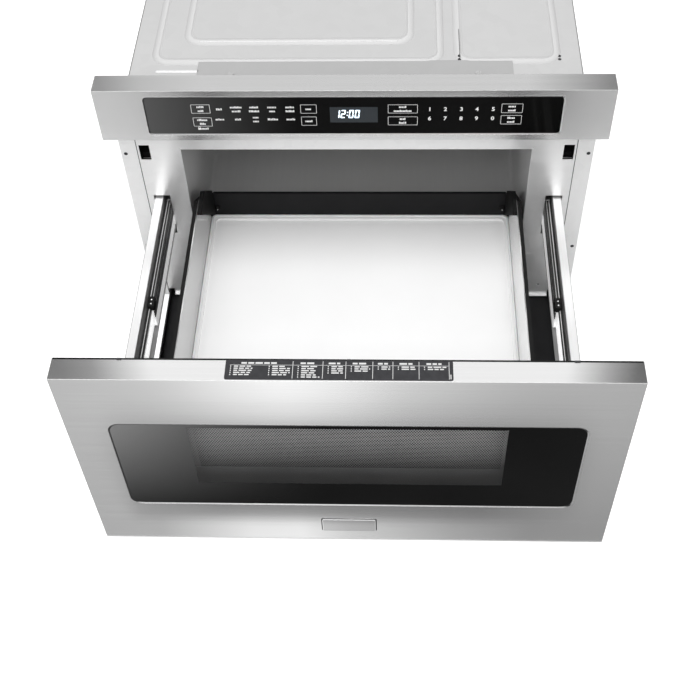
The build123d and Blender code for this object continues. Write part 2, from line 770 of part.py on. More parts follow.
def drawer_rail():
    flange_end = mid_x + rail_sheet + inner_flange_gap
    return channel((bracket_x, flange_end), drawer_half_height, 0)


def ball_cage(web_x, ball_x, ball_z, ball_radius, reach):
    """A folded strip that spaces two rows of balls, and the balls themselves."""
    middle = slide_start + slide_length / 2
    y = (middle - cage_length / 2, middle + cage_length / 2)
    z_out = ball_z + cage_sheet / 2
    strip = block((web_x, web_x + cage_sheet * 0.75), y, (slide_z - z_out, slide_z + z_out))
    for side in (-1, 1):
        row_z = slide_z + side * ball_z
        strip += block((web_x, reach), y, (row_z - cage_sheet / 2, row_z + cage_sheet / 2))
    balls = []
    holes = []
    for number in range(ball_count):
        ball_y = y[0] + cage_length * (number + 0.5) / ball_count
        for side in (-1, 1):
            row_z = slide_z + side * ball_z
            holes.append(rod_z(ball_x, ball_y, (row_z - 2, row_z + 2), ball_radius + ball_clearance))
            balls.append(Pos(ball_x, ball_y, row_z) * Sphere(ball_radius))
    return [strip - holes] + balls


def outer_ball_cage():
    row_z = fixed_inner_z - outer_ball_radius - ball_clearance
    web_x = slide_x + rail_sheet + (web_gap - cage_sheet) / 2
    ball_x = slide_x + fixed_depth - rail_sheet - outer_ball_radius - 1.55
    return ball_cage(web_x, ball_x, row_z, outer_ball_radius, slide_x + fixed_depth - rail_sheet - 0.6)


def inner_ball_cage():
    row_z = mid_inner_z - inner_ball_radius - ball_clearance
    web_x = mid_x + rail_sheet + 0.6
    ball_x = mid_x + mid_depth - rail_sheet - inner_ball_radius - 0.25
    return ball_cage(web_x, ball_x, row_z, inner_ball_radius, mid_x + mid_depth - 0.4)


def rail_supports():
    """Hat-shaped brackets between the cavity's side and the fixed rail."""
    wall = cavity_half + cavity_sheet
    hats = []
    for middle_y in (slide_start + 0.15 * slide_length, slide_start + 0.85 * slide_length):
        y = grow((middle_y, middle_y), support_length / 2)
        z = grow((slide_z, slide_z), support_height / 2)
        crown_y = grow(y, support_sheet - support_foot)
        hat = block((wall, slide_x), crown_y, z)
        hat -= block((wall - 1, slide_x - support_sheet), grow(crown_y, -support_sheet), grow(z, 1))
        hat += block((wall, wall + support_sheet), (y[0], y[0] + support_foot), z)
        hat += block((wall, wall + support_sheet), (y[1] - support_foot, y[1]), z)
        hats += pair(hat)
    return hats


def rail_bracket():
    """Z-section that carries the drawer rail, with the tab that is screwed to the door."""
    y = (inner_frame_rear, slide_start + slide_length - 2)
    web_x = (bracket_x, bracket_x + bracket_sheet)
    bracket = block(web_x, y, (bracket_bottom, bracket_top))
    bracket += block((bracket_x, bracket_x + bracket_shelf), y, (bracket_top - bracket_sheet, bracket_top))
    foot_x = (bracket_x - bracket_foot, bracket_x + bracket_sheet)
    bracket += block(foot_x, y, (bracket_bottom, bracket_bottom + bracket_sheet))
    tab_y = (inner_frame_rear, inner_frame_rear + bracket_sheet)
    bracket += block((bracket_x, bracket_x + bracket_tab), tab_y, (bracket_bottom, bracket_top))
    return bracket - [rod_y(x, grow(tab_y, 1), z, screw_hole) for x, z in bracket_screw_places()]


def bracket_screw_places():
    x = bracket_x + bracket_tab - 7
    return [(x, bracket_bottom + 10), (x, bracket_top - 10)]


# ---- door ----
def door_shell():
    z = (floor_gap, door_top)
    return framed_front(z, door_rear, door_glass_half, door_glass_z, door_glass_corner, door_glass_sheet)


def door_glass():
    return flush_glass(door_glass_half, door_glass_z, door_glass_corner, door_glass_sheet)


def door_inner_frame():
    x = grow((-front_half, front_half), -skin)
    z = grow((floor_gap, door_top), -skin)
    pan = block(x, (inner_frame_front - 8, inner_frame_rear), z)
    pan -= block(grow(x, -skin), (inner_frame_front - 9, inner_frame_front), grow(z, -skin))
    cut_y = (inner_frame_front - 1, inner_frame_rear + 1)
    pan -= upright_block((-window_half, window_half), cut_y, window_z, 6)
    holes = []
    for screw_x, screw_z in bracket_screw_places() + latch_screw_places() + base_screw_places():
        holes += pair(rod_y(screw_x, cut_y, screw_z, screw_hole))
    return pan - holes


def door_mesh_screen():
    x = grow((-window_half, window_half), screen_overlap)
    z = grow(window_z, screen_rise)
    return upright_block(x, (inner_frame_front - screen_sheet, inner_frame_front), z, 8)


def choke_cover():
    """The black moulded ring on the door's back that faces the cavity's mouth."""
    y = (inner_frame_rear, frame_front - 2.3)
    outer_x = (-cavity_half - 14, cavity_half + 14)
    ring = upright_block(outer_x, y, (cavity_floor - 16, opening_top + 18), 10)
    inner_half = tray_outer_half + 1
    return ring - upright_block((-inner_half, inner_half), grow(y, 1), (tray_bottom - 4, opening_top - 6), 4)


def badge_plate():
    x = grow((badge_x, badge_x), badge_width / 2)
    z = grow((floor_gap + badge_z, floor_gap + badge_z), badge_height / 2)
    return upright_block(x, (front_plane - badge_sheet, front_plane), z, 1.5)


def menu_label_plate():
    middle = (front_plane + door_rear) / 2
    y = grow((middle, middle), label_depth / 2)
    return flat_block((label_left, label_right), y, (door_top, door_top + label_sheet), 2)


def latch_screw_places():
    return [(sum(latch_hole_x) / 2, latch_hole_z[0] - 3)]


def latch_hook():
    low, high = latch_hole_z
    middle_z = (low + high) / 2
    base_y = (inner_frame_rear, inner_frame_rear + latch_base_sheet)
    hook = block(grow(latch_hole_x, -0.5), base_y, (low - 8, high - 2))
    arm_x = grow((sum(latch_hole_x) / 2, sum(latch_hole_x) / 2), latch_arm / 2)
    hook += block(arm_x, (base_y[0] + 1, latch_reach), (low + latch_arm + 1, middle_z + latch_arm - 1))
    hook += block(arm_x, (latch_reach - 7, latch_reach), (low + latch_arm + 1, high - latch_arm + 1))
    x, z = latch_screw_places()[0]
    return hook - rod_y(x, grow(base_y, 1), z, screw_hole)


def interlock_switch():
    """Switch holder behind a latch hole, open where the hook enters."""
    outer = case_half - case_sheet
    z = grow(latch_hole_z, 8)
    switch_x = (outer - 1 - switch_width, outer - 1)
    switch_y = (latch_reach - 3, switch_depth - 6)
    holder = block((outer - switch_sheet, outer), (0, switch_depth), z)
    holder += block((latch_hole_x[0] - 4, outer), (0, switch_sheet), z)
    holder -= block(latch_hole_x, (-1, switch_sheet + 1), latch_hole_z)
    for side_z in ((z[0], z[0] + 8.5), (z[1] - 8.5, z[1])):
        holder += block(switch_x, switch_y, side_z)
    return holder + block(switch_x, (latch_reach + 11, switch_y[1]), grow(z, -8))


# ---- tray ----
def tray_pan():
    half = tray_inner_half + tray_sheet
    front = inner_frame_rear
    pan = block((-half, half), (front, tray_rear), (tray_bottom, tray_bottom + tray_sheet))
    for wall in pair(tray_side(tray_inner_half, half)):
        pan += wall
    pan += block((-half, half), (front, front + tray_sheet), (tray_bottom, tray_bottom + tray_front_wall))
    pan += block((-half, half), (tray_rear - tray_sheet, tray_rear), (tray_bottom, tray_bottom + tray_rear_wall))
    return pan - [rod_y(x, (tray_rear - 3, tray_rear + 1), z, screw_hole) for x, z in bar_screw_places()]


def tray_side(inner, outer):
    """A side wall whose top slants down to the rear bar's height."""
    rear_top = plate_bottom + plate_sheet + rear_bar_height
    side = block((inner, outer), (inner_frame_rear, tray_rear), (tray_bottom, tray_top))
    slant = Polyline(
        (tray_slant_start, tray_top), (tray_rear, rear_top), (tray_rear + 5, rear_top),
        (tray_rear + 5, tray_top + 5), (tray_slant_start, tray_top + 5), close=True,
    )
    cut = extrude(Plane.YZ * make_face(slant), amount=outer + 5)
    return side - cut


def tray_trims():
    """Black outer skins of the tray's sides."""
    return pair(tray_side(tray_inner_half + tray_sheet, tray_outer_half))


def tray_floor_plate():
    half = tray_inner_half - plate_joint
    y = (inner_frame_rear + tray_sheet + plate_joint, tray_rear - tray_sheet - rear_bar_sheet - plate_joint)
    top = plate_bottom + plate_sheet
    plate = flat_block((-half, half), y, (plate_bottom, top + plate_rim), 4)
    well_x = grow((-half, half), -plate_rim_width)
    well_y = grow(y, -plate_rim_width)
    return plate - flat_block(well_x, well_y, (top, top + plate_rim + 1), 6)


def bar_screw_places():
    x = tray_inner_half - 9
    return [(-x, tray_bottom + 22), (x, tray_bottom + 22)]


def tray_rear_bar():
    """Black bar across the tray's back, its two ends folded in a chamfer."""
    y = (tray_rear - tray_sheet - rear_bar_sheet, tray_rear - tray_sheet)
    z = (plate_bottom, plate_bottom + plate_sheet + rear_bar_height)
    half = tray_inner_half - 0.3
    bar = block((-half, half), y, z)
    side = rear_bar_chamfer * math.sqrt(2)
    bar -= pair(Pos(half, sum(y) / 2, z[1]) * Rot(0, 45, 0) * Box(side, 3 * rear_bar_sheet, side))
    return bar - [rod_y(x, grow(y, 1), pz, screw_hole) for x, pz in bar_screw_places()]


def tray_glides():
    z = (cavity_floor + glide_gap, tray_bottom)
    y = (tray_rear - tray_glide_end - tray_glide_length, tray_rear - tray_glide_end)
    outer = tray_inner_half - tray_glide_edge
    return pair(flat_block((outer - tray_glide_width, outer), y, z, 3))


# ---- drawer base plate and its drive ----
def base_screw_places():
    z = base_plate_bottom + base_plate_front - 10
    return [(60, z), (base_plate_half - 60, z)]


def drawer_base_plate():
    half = base_plate_half
    y = (inner_frame_rear, inner_frame_rear + base_plate_length)
    plate = block((-half, half), y, (base_plate_bottom, plate_top))
    lip_z = (base_plate_bottom, base_plate_bottom + base_plate_lip)
    lip_y = (inner_frame_rear, y[1])
    for lip in pair(block((half - base_plate_sheet, half), lip_y, lip_z)):
        plate += lip
    front_y = (inner_frame_rear, inner_frame_rear + base_plate_sheet)
    plate += block((-half, half), front_y, (base_plate_bottom, base_plate_bottom + base_plate_front))
    holes = []
    for x, z in base_screw_places():
        holes += pair(rod_y(x, grow(front_y, 1), z, screw_hole))
    return plate - holes


def base_glides():
    """Low-friction blocks on the base pan under the drawer's base plate."""
    z = (pan_sheet, base_plate_bottom - glide_gap)
    blocks = []
    outer = base_plate_half - base_glide_edge
    for number in range(2):
        start = base_glide_start + number * base_glide_pitch
        blocks += pair(block((outer - base_glide_width, outer), (start, start + base_glide_length), z))
    return blocks


def half_tooth(radius, base_radius, pitch_radius, pitch_thickness):
    """Half of the angle that an involute tooth fills at a radius."""
    def involute(angle):
        return math.tan(angle) - angle

    at_radius = math.acos(base_radius / max(radius, base_radius))
    return pitch_thickness / (2 * pitch_radius) + involute(pressure_angle) - involute(at_radius)


def spur_gear(module, teeth, backlash, x, phase):
    """A spur gear on an axis along X, with a tooth at the angle phase from +Y towards +Z."""
    pitch_radius = module * teeth / 2
    base_radius = pitch_radius * math.cos(pressure_angle)
    root_radius = pitch_radius - tooth_dedendum * module
    tip_radius = pitch_radius + tooth_addendum * module
    thickness = math.pi * module / 2 - backlash
    flank = [root_radius]
    flank += [base_radius + (tip_radius - base_radius) * step / 4 for step in range(5)]
    points = []
    for tooth in range(teeth):
        middle = phase + 2 * math.pi * tooth / teeth
        for side, radii in ((-1, flank), (1, flank[::-1])):
            for radius in radii:
                angle = middle + side * half_tooth(radius, base_radius, pitch_radius, thickness)
                points.append((radius * math.cos(angle), radius * math.sin(angle)))
    outline = make_face(Polyline(*points, close=True))
    return Pos(x[0], 0, 0) * extrude(Plane.YZ * outline, amount=x[1] - x[0])


def drive_racks():
    """Two racks on the base plate. One tooth stands under the drive shaft when the drawer is open."""
    pitch = math.pi * drive_module
    start = inner_frame_rear + rack_start
    end = start + rack_length
    tip_z = rack_pitch_z + tooth_addendum * drive_module
    half_pitch_width = (pitch / 2 - rack_backlash) / 2
    tip_half = half_pitch_width - tooth_addendum * drive_module * math.tan(pressure_angle)
    root_half = half_pitch_width + tooth_dedendum * drive_module * math.tan(pressure_angle)
    first_tooth = shaft_y + drawer_travel
    count_back = math.floor((end - root_half - first_tooth) / pitch)
    count_front = math.floor((first_tooth - root_half - start) / pitch)
    points = [(start, plate_top), (start, rack_root)]
    for number in range(-count_front, count_back + 1):
        middle = first_tooth + number * pitch
        points += [(middle - root_half, rack_root), (middle - tip_half, tip_z)]
        points += [(middle + tip_half, tip_z), (middle + root_half, rack_root)]
    points += [(end, rack_root), (end, plate_top)]
    outline = make_face(Polyline(*points, close=True))
    left = rack_x - rack_width / 2
    return pair(Pos(left, 0, 0) * extrude(Plane.YZ * outline, amount=rack_width))


def drive_shaft():
    return rod_x((-rack_x - 22, rack_x + 22), shaft_y, shaft_z, shaft_radius)


def on_shaft(shape):
    return Pos(0, shaft_y, shaft_z) * shape


def drive_gears():
    """The two pinions that roll on the racks and the gear that the motor turns."""
    half_width = rack_width / 2 - 1
    pinion_phase = -math.pi / 2 + math.pi / drive_teeth
    pinion_x = (rack_x - half_width, rack_x + half_width)
    pinion = spur_gear(drive_module, drive_teeth, rack_backlash, pinion_x, pinion_phase)
    pinion += rod_x((rack_x - half_width - 5, rack_x), 0, 0, hub_radius)
    wheel = spur_gear(gear_module, gear_teeth, gear_backlash, (gear_x, gear_x + gear_width), 0)
    wheel += rod_x((gear_x - 6, gear_x + 1), 0, 0, hub_radius)
    bore = rod_x((-rack_x - through, rack_x + through), 0, 0, shaft_radius + press_gap)
    return [on_shaft(gear - bore) for gear in pair(pinion) + [wheel]]


def motor_pinion():
    phase = math.pi + math.pi / motor_teeth
    pinion = spur_gear(gear_module, motor_teeth, gear_backlash, (gear_x, gear_x + gear_width), phase)
    spindle_end = gear_x + gear_width + drive_bracket_sheet + 16
    return Pos(0, motor_y, shaft_z) * (pinion + rod_x((gear_x, spindle_end), 0, 0, spindle_radius))


def bearing_plate(x, rear):
    z = (shaft_z - bearing_plate_drop, shaft_z + bearing_plate_rise)
    plate = block(x, (0, rear), z)
    plate += block((x[0], x[0] + bearing_foot_width), (0, bearing_foot_sheet), z)
    return plate - rod_x(grow(x, through), shaft_y, shaft_z, shaft_radius + running_gap)


def drive_brackets():
    """Bearing plates on the front frame. The middle one also carries the motor."""
    outer_x = (rack_x + 12, rack_x + 12 + drive_bracket_sheet)
    motor_x = (gear_x + gear_width + 1, gear_x + gear_width + 1 + drive_bracket_sheet)
    motor_plate = bearing_plate(motor_x, motor_y + motor_radius)
    motor_plate -= rod_x(grow(motor_x, through), motor_y, shaft_z, spindle_radius + 5)
    return pair(bearing_plate(outer_x, shaft_y + bearing_plate_end)) + [motor_plate]


def drive_motor():
    start = gear_x + gear_width + 1 + drive_bracket_sheet
    motor = rod_x((start, start + 26), motor_y, shaft_z, motor_radius)
    motor += rod_x((start + 25, start + motor_length), motor_y, shaft_z, motor_radius - 3)
    motor += rod_x((start + 25, start + motor_length + 3), motor_y, shaft_z, 2 * spindle_radius)
    return motor - rod_x((start - 1, start + 18), motor_y, shaft_z, spindle_radius + running_gap)


def drawer_screws():
    screws = []
    held_sheets = [
        (bracket_screw_places(), bracket_sheet),
        (latch_screw_places(), latch_base_sheet),
        (base_screw_places(), base_plate_sheet),
    ]
    for places, sheet in held_sheets:
        for x, z in places:
            screws += pair(screw_y(x, inner_frame_rear + sheet, z, sheet + screw_grip))
    head_seat = tray_rear - tray_sheet - rear_bar_sheet
    for x, z in bar_screw_places():
        screw = rod_y(x, (head_seat - screw_head_height, head_seat), z, screw_head)
        screws.append(screw + rod_y(x, (head_seat - 0.5, tray_rear + 1), z, screw_shank))
    return screws


# ---- nodes, with how far each is shifted forward from closed to open ----
fixed_nodes = {
    "case_wrap": case_wrap,
    "base_pan": base_pan,
    "rear_cover": rear_cover,
    "front_frame": front_frame,
    "mounting_flanges": lambda: pair(mounting_flange()),
    "cavity_liner": cavity_liner,
    "stirrer_cover": stirrer_cover,
    "stirrer_motor": stirrer_motor,
    "stirrer_blade": stirrer_blade,
    "waveguide": waveguide,
    "magnetron": magnetron,
    "transformer": transformer,
    "capacitor": capacitor,
    "fan_housing": fan_housing,
    "fan_motor": fan_motor,
    "fan_wheel": fan_wheel,
    "cavity_lamp": cavity_lamp,
    "power_inlet": power_inlet,
    "case_screws": case_screws,
    "control_panel_shell": control_panel_shell,
    "panel_top_bracket": panel_top_bracket,
    "touch_glass": touch_glass,
    "display_module": display_module,
    "control_board": control_board,
    "fixed_rail_right": fixed_rail,
    "fixed_rail_left": lambda: mirrored(fixed_rail()),
    "rail_supports": rail_supports,
    "interlock_switches": lambda: pair(interlock_switch()),
    "base_glides": base_glides,
    "drive_brackets": drive_brackets,
    "drive_motor": drive_motor,
    "drive_shaft": drive_shaft,
    "drive_gears": drive_gears,
    "motor_pinion": motor_pinion,
}

drawer_nodes = {
    "door_shell": door_shell,
    "door_glass": door_glass,
    "door_mesh_screen": door_mesh_screen,
    "door_inner_frame": door_inner_frame,
    "choke_cover": choke_cover,
    "badge_plate": badge_plate,
    "menu_label_plate": menu_label_plate,
    "tray_pan": tray_pan,
    "tray_floor_plate": tray_floor_plate,
    "tray_rear_bar": tray_rear_bar,
    "tray_trims": tray_trims,
    "tray_glides": tray_glides,
    "drawer_base_plate": drawer_base_plate,
    "drive_racks": drive_racks,
    "rail_bracket_right": rail_bracket,
    "rail_bracket_left": lambda: mirrored(rail_bracket()),
    "drawer_rail_right": drawer_rail,
    "drawer_rail_left": lambda: mirrored(drawer_rail()),
    "latch_hooks": lambda: pair(latch_hook()),
    "drawer_screws": drawer_screws,
}


def both_sides(name, make, travel, nodes):
    """Adds the right-hand and the left-hand node of a telescoping piece."""
    shapes = make()
    if not isinstance(shapes, list):
        shapes = [shapes]
    nodes[name + "_right"] = (shapes, travel)
    nodes[name + "_left"] = ([mirrored(shape) for shape in shapes], travel)


nodes = {name: (make(), 0) for name, make in fixed_nodes.items()}
nodes.update({name: (make(), drawer_travel) for name, make in drawer_nodes.items()})
both_sides("mid_rail", mid_rail, mid_travel, nodes)
both_sides("outer_ball_cage", outer_ball_cage, outer_cage_travel, nodes)
both_sides("inner_ball_cage", inner_ball_cage, inner_cage_travel, nodes)

for name, (shape, travel) in nodes.items():
    shapes = shape if isinstance(shape, list) else [shape]
    solids = [solid for each in shapes for solid in each.solids()]
    placed = [Pos(0, -travel, 0) * solid for solid in solids]
    export_step(placed[0] if len(placed) == 1 else Compound(children=placed), f"parts/{name}.step")
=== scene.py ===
"""Looks of a built-in microwave drawer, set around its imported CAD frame.

Every length is in metres, in the frame of the CAD: X to the right, Y to the back and Z up. The drawer stands
open.
"""

import json
import math
import random

import bmesh
import bpy
from mathutils import Matrix, Vector


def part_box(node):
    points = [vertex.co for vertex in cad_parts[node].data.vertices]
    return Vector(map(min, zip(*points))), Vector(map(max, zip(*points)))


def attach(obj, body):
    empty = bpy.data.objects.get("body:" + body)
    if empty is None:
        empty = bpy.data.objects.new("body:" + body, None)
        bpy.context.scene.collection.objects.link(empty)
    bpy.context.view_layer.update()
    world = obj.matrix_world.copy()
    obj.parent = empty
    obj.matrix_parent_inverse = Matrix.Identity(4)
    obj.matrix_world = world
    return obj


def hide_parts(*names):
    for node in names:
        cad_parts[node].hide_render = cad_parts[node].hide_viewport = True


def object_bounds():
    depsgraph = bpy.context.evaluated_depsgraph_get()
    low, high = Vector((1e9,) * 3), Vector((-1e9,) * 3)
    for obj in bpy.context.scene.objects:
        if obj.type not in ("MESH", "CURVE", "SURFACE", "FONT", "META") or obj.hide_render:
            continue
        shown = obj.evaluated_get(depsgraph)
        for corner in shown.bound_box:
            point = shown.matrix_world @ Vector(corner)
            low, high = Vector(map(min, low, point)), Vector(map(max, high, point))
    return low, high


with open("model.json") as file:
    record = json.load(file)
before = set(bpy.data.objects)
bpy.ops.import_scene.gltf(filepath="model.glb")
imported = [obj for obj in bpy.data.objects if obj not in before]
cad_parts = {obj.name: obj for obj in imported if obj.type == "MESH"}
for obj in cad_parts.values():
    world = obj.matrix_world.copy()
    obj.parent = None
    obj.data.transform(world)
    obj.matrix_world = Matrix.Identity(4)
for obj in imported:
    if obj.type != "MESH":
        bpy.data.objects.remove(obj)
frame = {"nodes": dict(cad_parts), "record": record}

bl_info = {
    "name": "Microwave Drawer Looks",
    "version": (1, 0, 0),
    "blender": (4, 5, 0),
    "location": "3D View > Sidebar > Microwave Drawer",
    "description": "Finishes, glass, panel marks and studio for a microwave drawer",
    "category": "Object",
}

MM = 0.001
MICRON = 0.000001
NODES = frame["nodes"]
BASE_COLOURS = {entry["slot"]: tuple(entry["base_color"][:3]) for entry in frame["record"]["materials"]}

CAD_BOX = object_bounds()
PANEL_LOW, PANEL_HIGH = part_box("control_panel_shell")
TOUCH_LOW, TOUCH_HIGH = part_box("touch_glass")
DISPLAY_LOW, DISPLAY_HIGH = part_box("display_module")
DOOR_LOW, DOOR_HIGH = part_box("door_shell")
PANE_LOW, PANE_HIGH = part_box("door_glass")
SCREEN_LOW, SCREEN_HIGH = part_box("door_mesh_screen")
LABEL_LOW, LABEL_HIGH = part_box("menu_label_plate")
BADGE_LOW, BADGE_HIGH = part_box("badge_plate")
CASE_LOW, CASE_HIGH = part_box("case_wrap")
FLANGE_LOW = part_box("mounting_flanges")[0]
FLOOR_LOW, FLOOR_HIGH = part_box("tray_floor_plate")
BAR_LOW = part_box("tray_rear_bar")[0]

NODES_OF_FINISH = {
    "stainless_front": ["control_panel_shell", "door_shell", "badge_plate"],
    "galvanised_sheet": [
        "case_wrap",
        "base_pan",
        "rear_cover",
        "front_frame",
        "mounting_flanges",
        "panel_top_bracket",
        "waveguide",
        "rail_supports",
        "drive_brackets",
    ],
    "cavity_steel": ["cavity_liner"],
    "tray_steel": ["tray_pan"],
    "rail_zinc": [
        "fixed_rail_right",
        "fixed_rail_left",
        "mid_rail_right",
        "mid_rail_left",
        "drawer_rail_right",
        "drawer_rail_left",
        "rail_bracket_right",
        "rail_bracket_left",
    ],
    "bearing_steel": [
        "outer_ball_cage_right",
        "outer_ball_cage_left",
        "inner_ball_cage_right",
        "inner_ball_cage_left",
    ],
    "machined_steel": ["drive_shaft", "motor_pinion", "drawer_screws", "case_screws"],
    "black_glass": ["touch_glass", "door_glass"],
    "white_ceramic": ["tray_floor_plate"],
    "black_paint": ["tray_rear_bar", "drawer_base_plate", "door_inner_frame", "door_mesh_screen"],
    "black_plastic": [
        "tray_trims",
        "choke_cover",
        "latch_hooks",
        "interlock_switches",
        "power_inlet",
        "fan_housing",
        "fan_wheel",
    ],
    "gloss_black": ["menu_label_plate"],
    "pale_plastic": ["stirrer_cover", "tray_glides", "base_glides"],
    "gear_plastic": ["drive_gears", "drive_racks"],
    "display_window": ["display_module"],
    "circuit_board": ["control_board"],
    "iron_core": ["transformer", "fan_motor", "drive_motor", "stirrer_motor"],
    "aluminium": ["capacitor", "magnetron", "stirrer_blade"],
    "lamp_glass": ["cavity_lamp"],
}


# ---------------------------------------------------------------------------------------------------------------------
# Settings
# ---------------------------------------------------------------------------------------------------------------------


def length(name, description, default):
    return bpy.props.FloatProperty(
        name=name, description=description, default=default, subtype="DISTANCE", unit="LENGTH"
    )


def angle(name, description, degrees):
    return bpy.props.FloatProperty(
        name=name, description=description, default=math.radians(degrees), subtype="ANGLE"
    )


def number(name, description, default):
    return bpy.props.FloatProperty(name=name, description=description, default=default)


def colour(name, description, default):
    return bpy.props.FloatVectorProperty(
        name=name, description=description, default=default, size=3, min=0.0, max=1.0, subtype="COLOR"
    )


def amount(name, description, default):
    return bpy.props.FloatProperty(name=name, description=description, default=default, subtype="FACTOR")


class MetalSettings(bpy.types.PropertyGroup):
    """Colours and gloss of the sheet metals."""

    front: colour("Front steel", "Colour of the brushed steel fronts", (0.76, 0.76, 0.76))
    front_roughness: amount("Front roughness", "How far the brushed fronts blur reflections", 0.26)
    case: colour("Case sheet", "Colour of the zinc-coated case", (0.56, 0.56, 0.56))
    bracket: colour("Bracket sheet", "Colour of the angle between the case and the panel", (0.46, 0.46, 0.46))
    cavity: colour("Cavity steel", "Colour of the oven cavity", (0.64, 0.64, 0.64))
    tray: colour("Tray steel", "Colour of the polished tray walls", (0.84, 0.84, 0.84))
    rails: colour("Rail zinc", "Colour of the slides", (0.93, 0.93, 0.93))


class PanelSettings(bpy.types.PropertyGroup):
    """The marks on the touch panel."""

    print_colour: colour("Print", "Colour of the printed marks", (0.92, 0.92, 0.92))
    stroke: length("Stroke", "Line width of the boxes", 0.45 * MM)
    digit_height: length("Digit height", "Height of the printed digits", 5.4 * MM)
    word_height: length("Word height", "Height of the bars that stand for words", 3.0 * MM)
    clock_height: length("Clock digit height", "Height of the lit clock digits", 12.0 * MM)
    clock_colour: colour("Clock light", "Colour of the lit clock digits", (0.80, 0.90, 1.0))
    clock_strength: number("Clock strength", "Strength of the lit clock", 1.3)


class DoorSettings(bpy.types.PropertyGroup):
    """The door's window and screen."""

    window_half_width: length("Window half width", "Half of the clear window's width", 172 * MM)
    window_bottom: length("Window bottom", "Height of the clear window's lower edge", 129 * MM)
    window_top: length("Window top", "Height of the clear window's upper edge", 239 * MM)
    perforation_bottom: length("Perforation bottom", "Height at which the holes start", 130.5 * MM)
    hole_pitch: length("Hole pitch", "Distance between neighbouring holes of the screen", 3.0 * MM)
    hole_diameter: length("Hole diameter", "Width of a hole of the screen", 2.1 * MM)
    lip_width: length("Lip width", "Width of the bevelled lip round each glass", 1.4 * MM)
    lip_depth: length("Lip depth", "How far each glass sits back inside its lip", 0.7 * MM)


class CameraSettings(bpy.types.PropertyGroup):
    """The photograph's viewpoint."""

    place: bpy.props.FloatVectorProperty(
        name="Place",
        description="Where the camera stands",
        default=(0.0521, -1.0884, 1.2634),
        subtype="TRANSLATION",
    )
    down: angle("Down", "Angle below the horizon", 51.695)
    turn: angle("Turn", "Angle to the right of straight ahead", -3.664)
    roll: angle("Roll", "Tilt of the picture", -2.541)
    lens: number("Lens", "Focal length in millimetres on 36 mm", 59.81)


class StudioSettings(bpy.types.PropertyGroup):
    """Light and floor of the studio."""

    floor_colour: colour("Floor", "Colour of the floor", (0.64, 0.64, 0.64))
    fill: amount("Fill", "Level of the light from all round", 0.85)
    key_power: number("Key power", "Power of the front lamp in watts", 30.0)
    top_power: number("Top power", "Power of the overhead lamp in watts", 28.0)


# ---------------------------------------------------------------------------------------------------------------------
# Finishes
# ---------------------------------------------------------------------------------------------------------------------

# Most values of a noise texture lie between these two.
NOISE_LOW, NOISE_HIGH = 0.3, 0.7


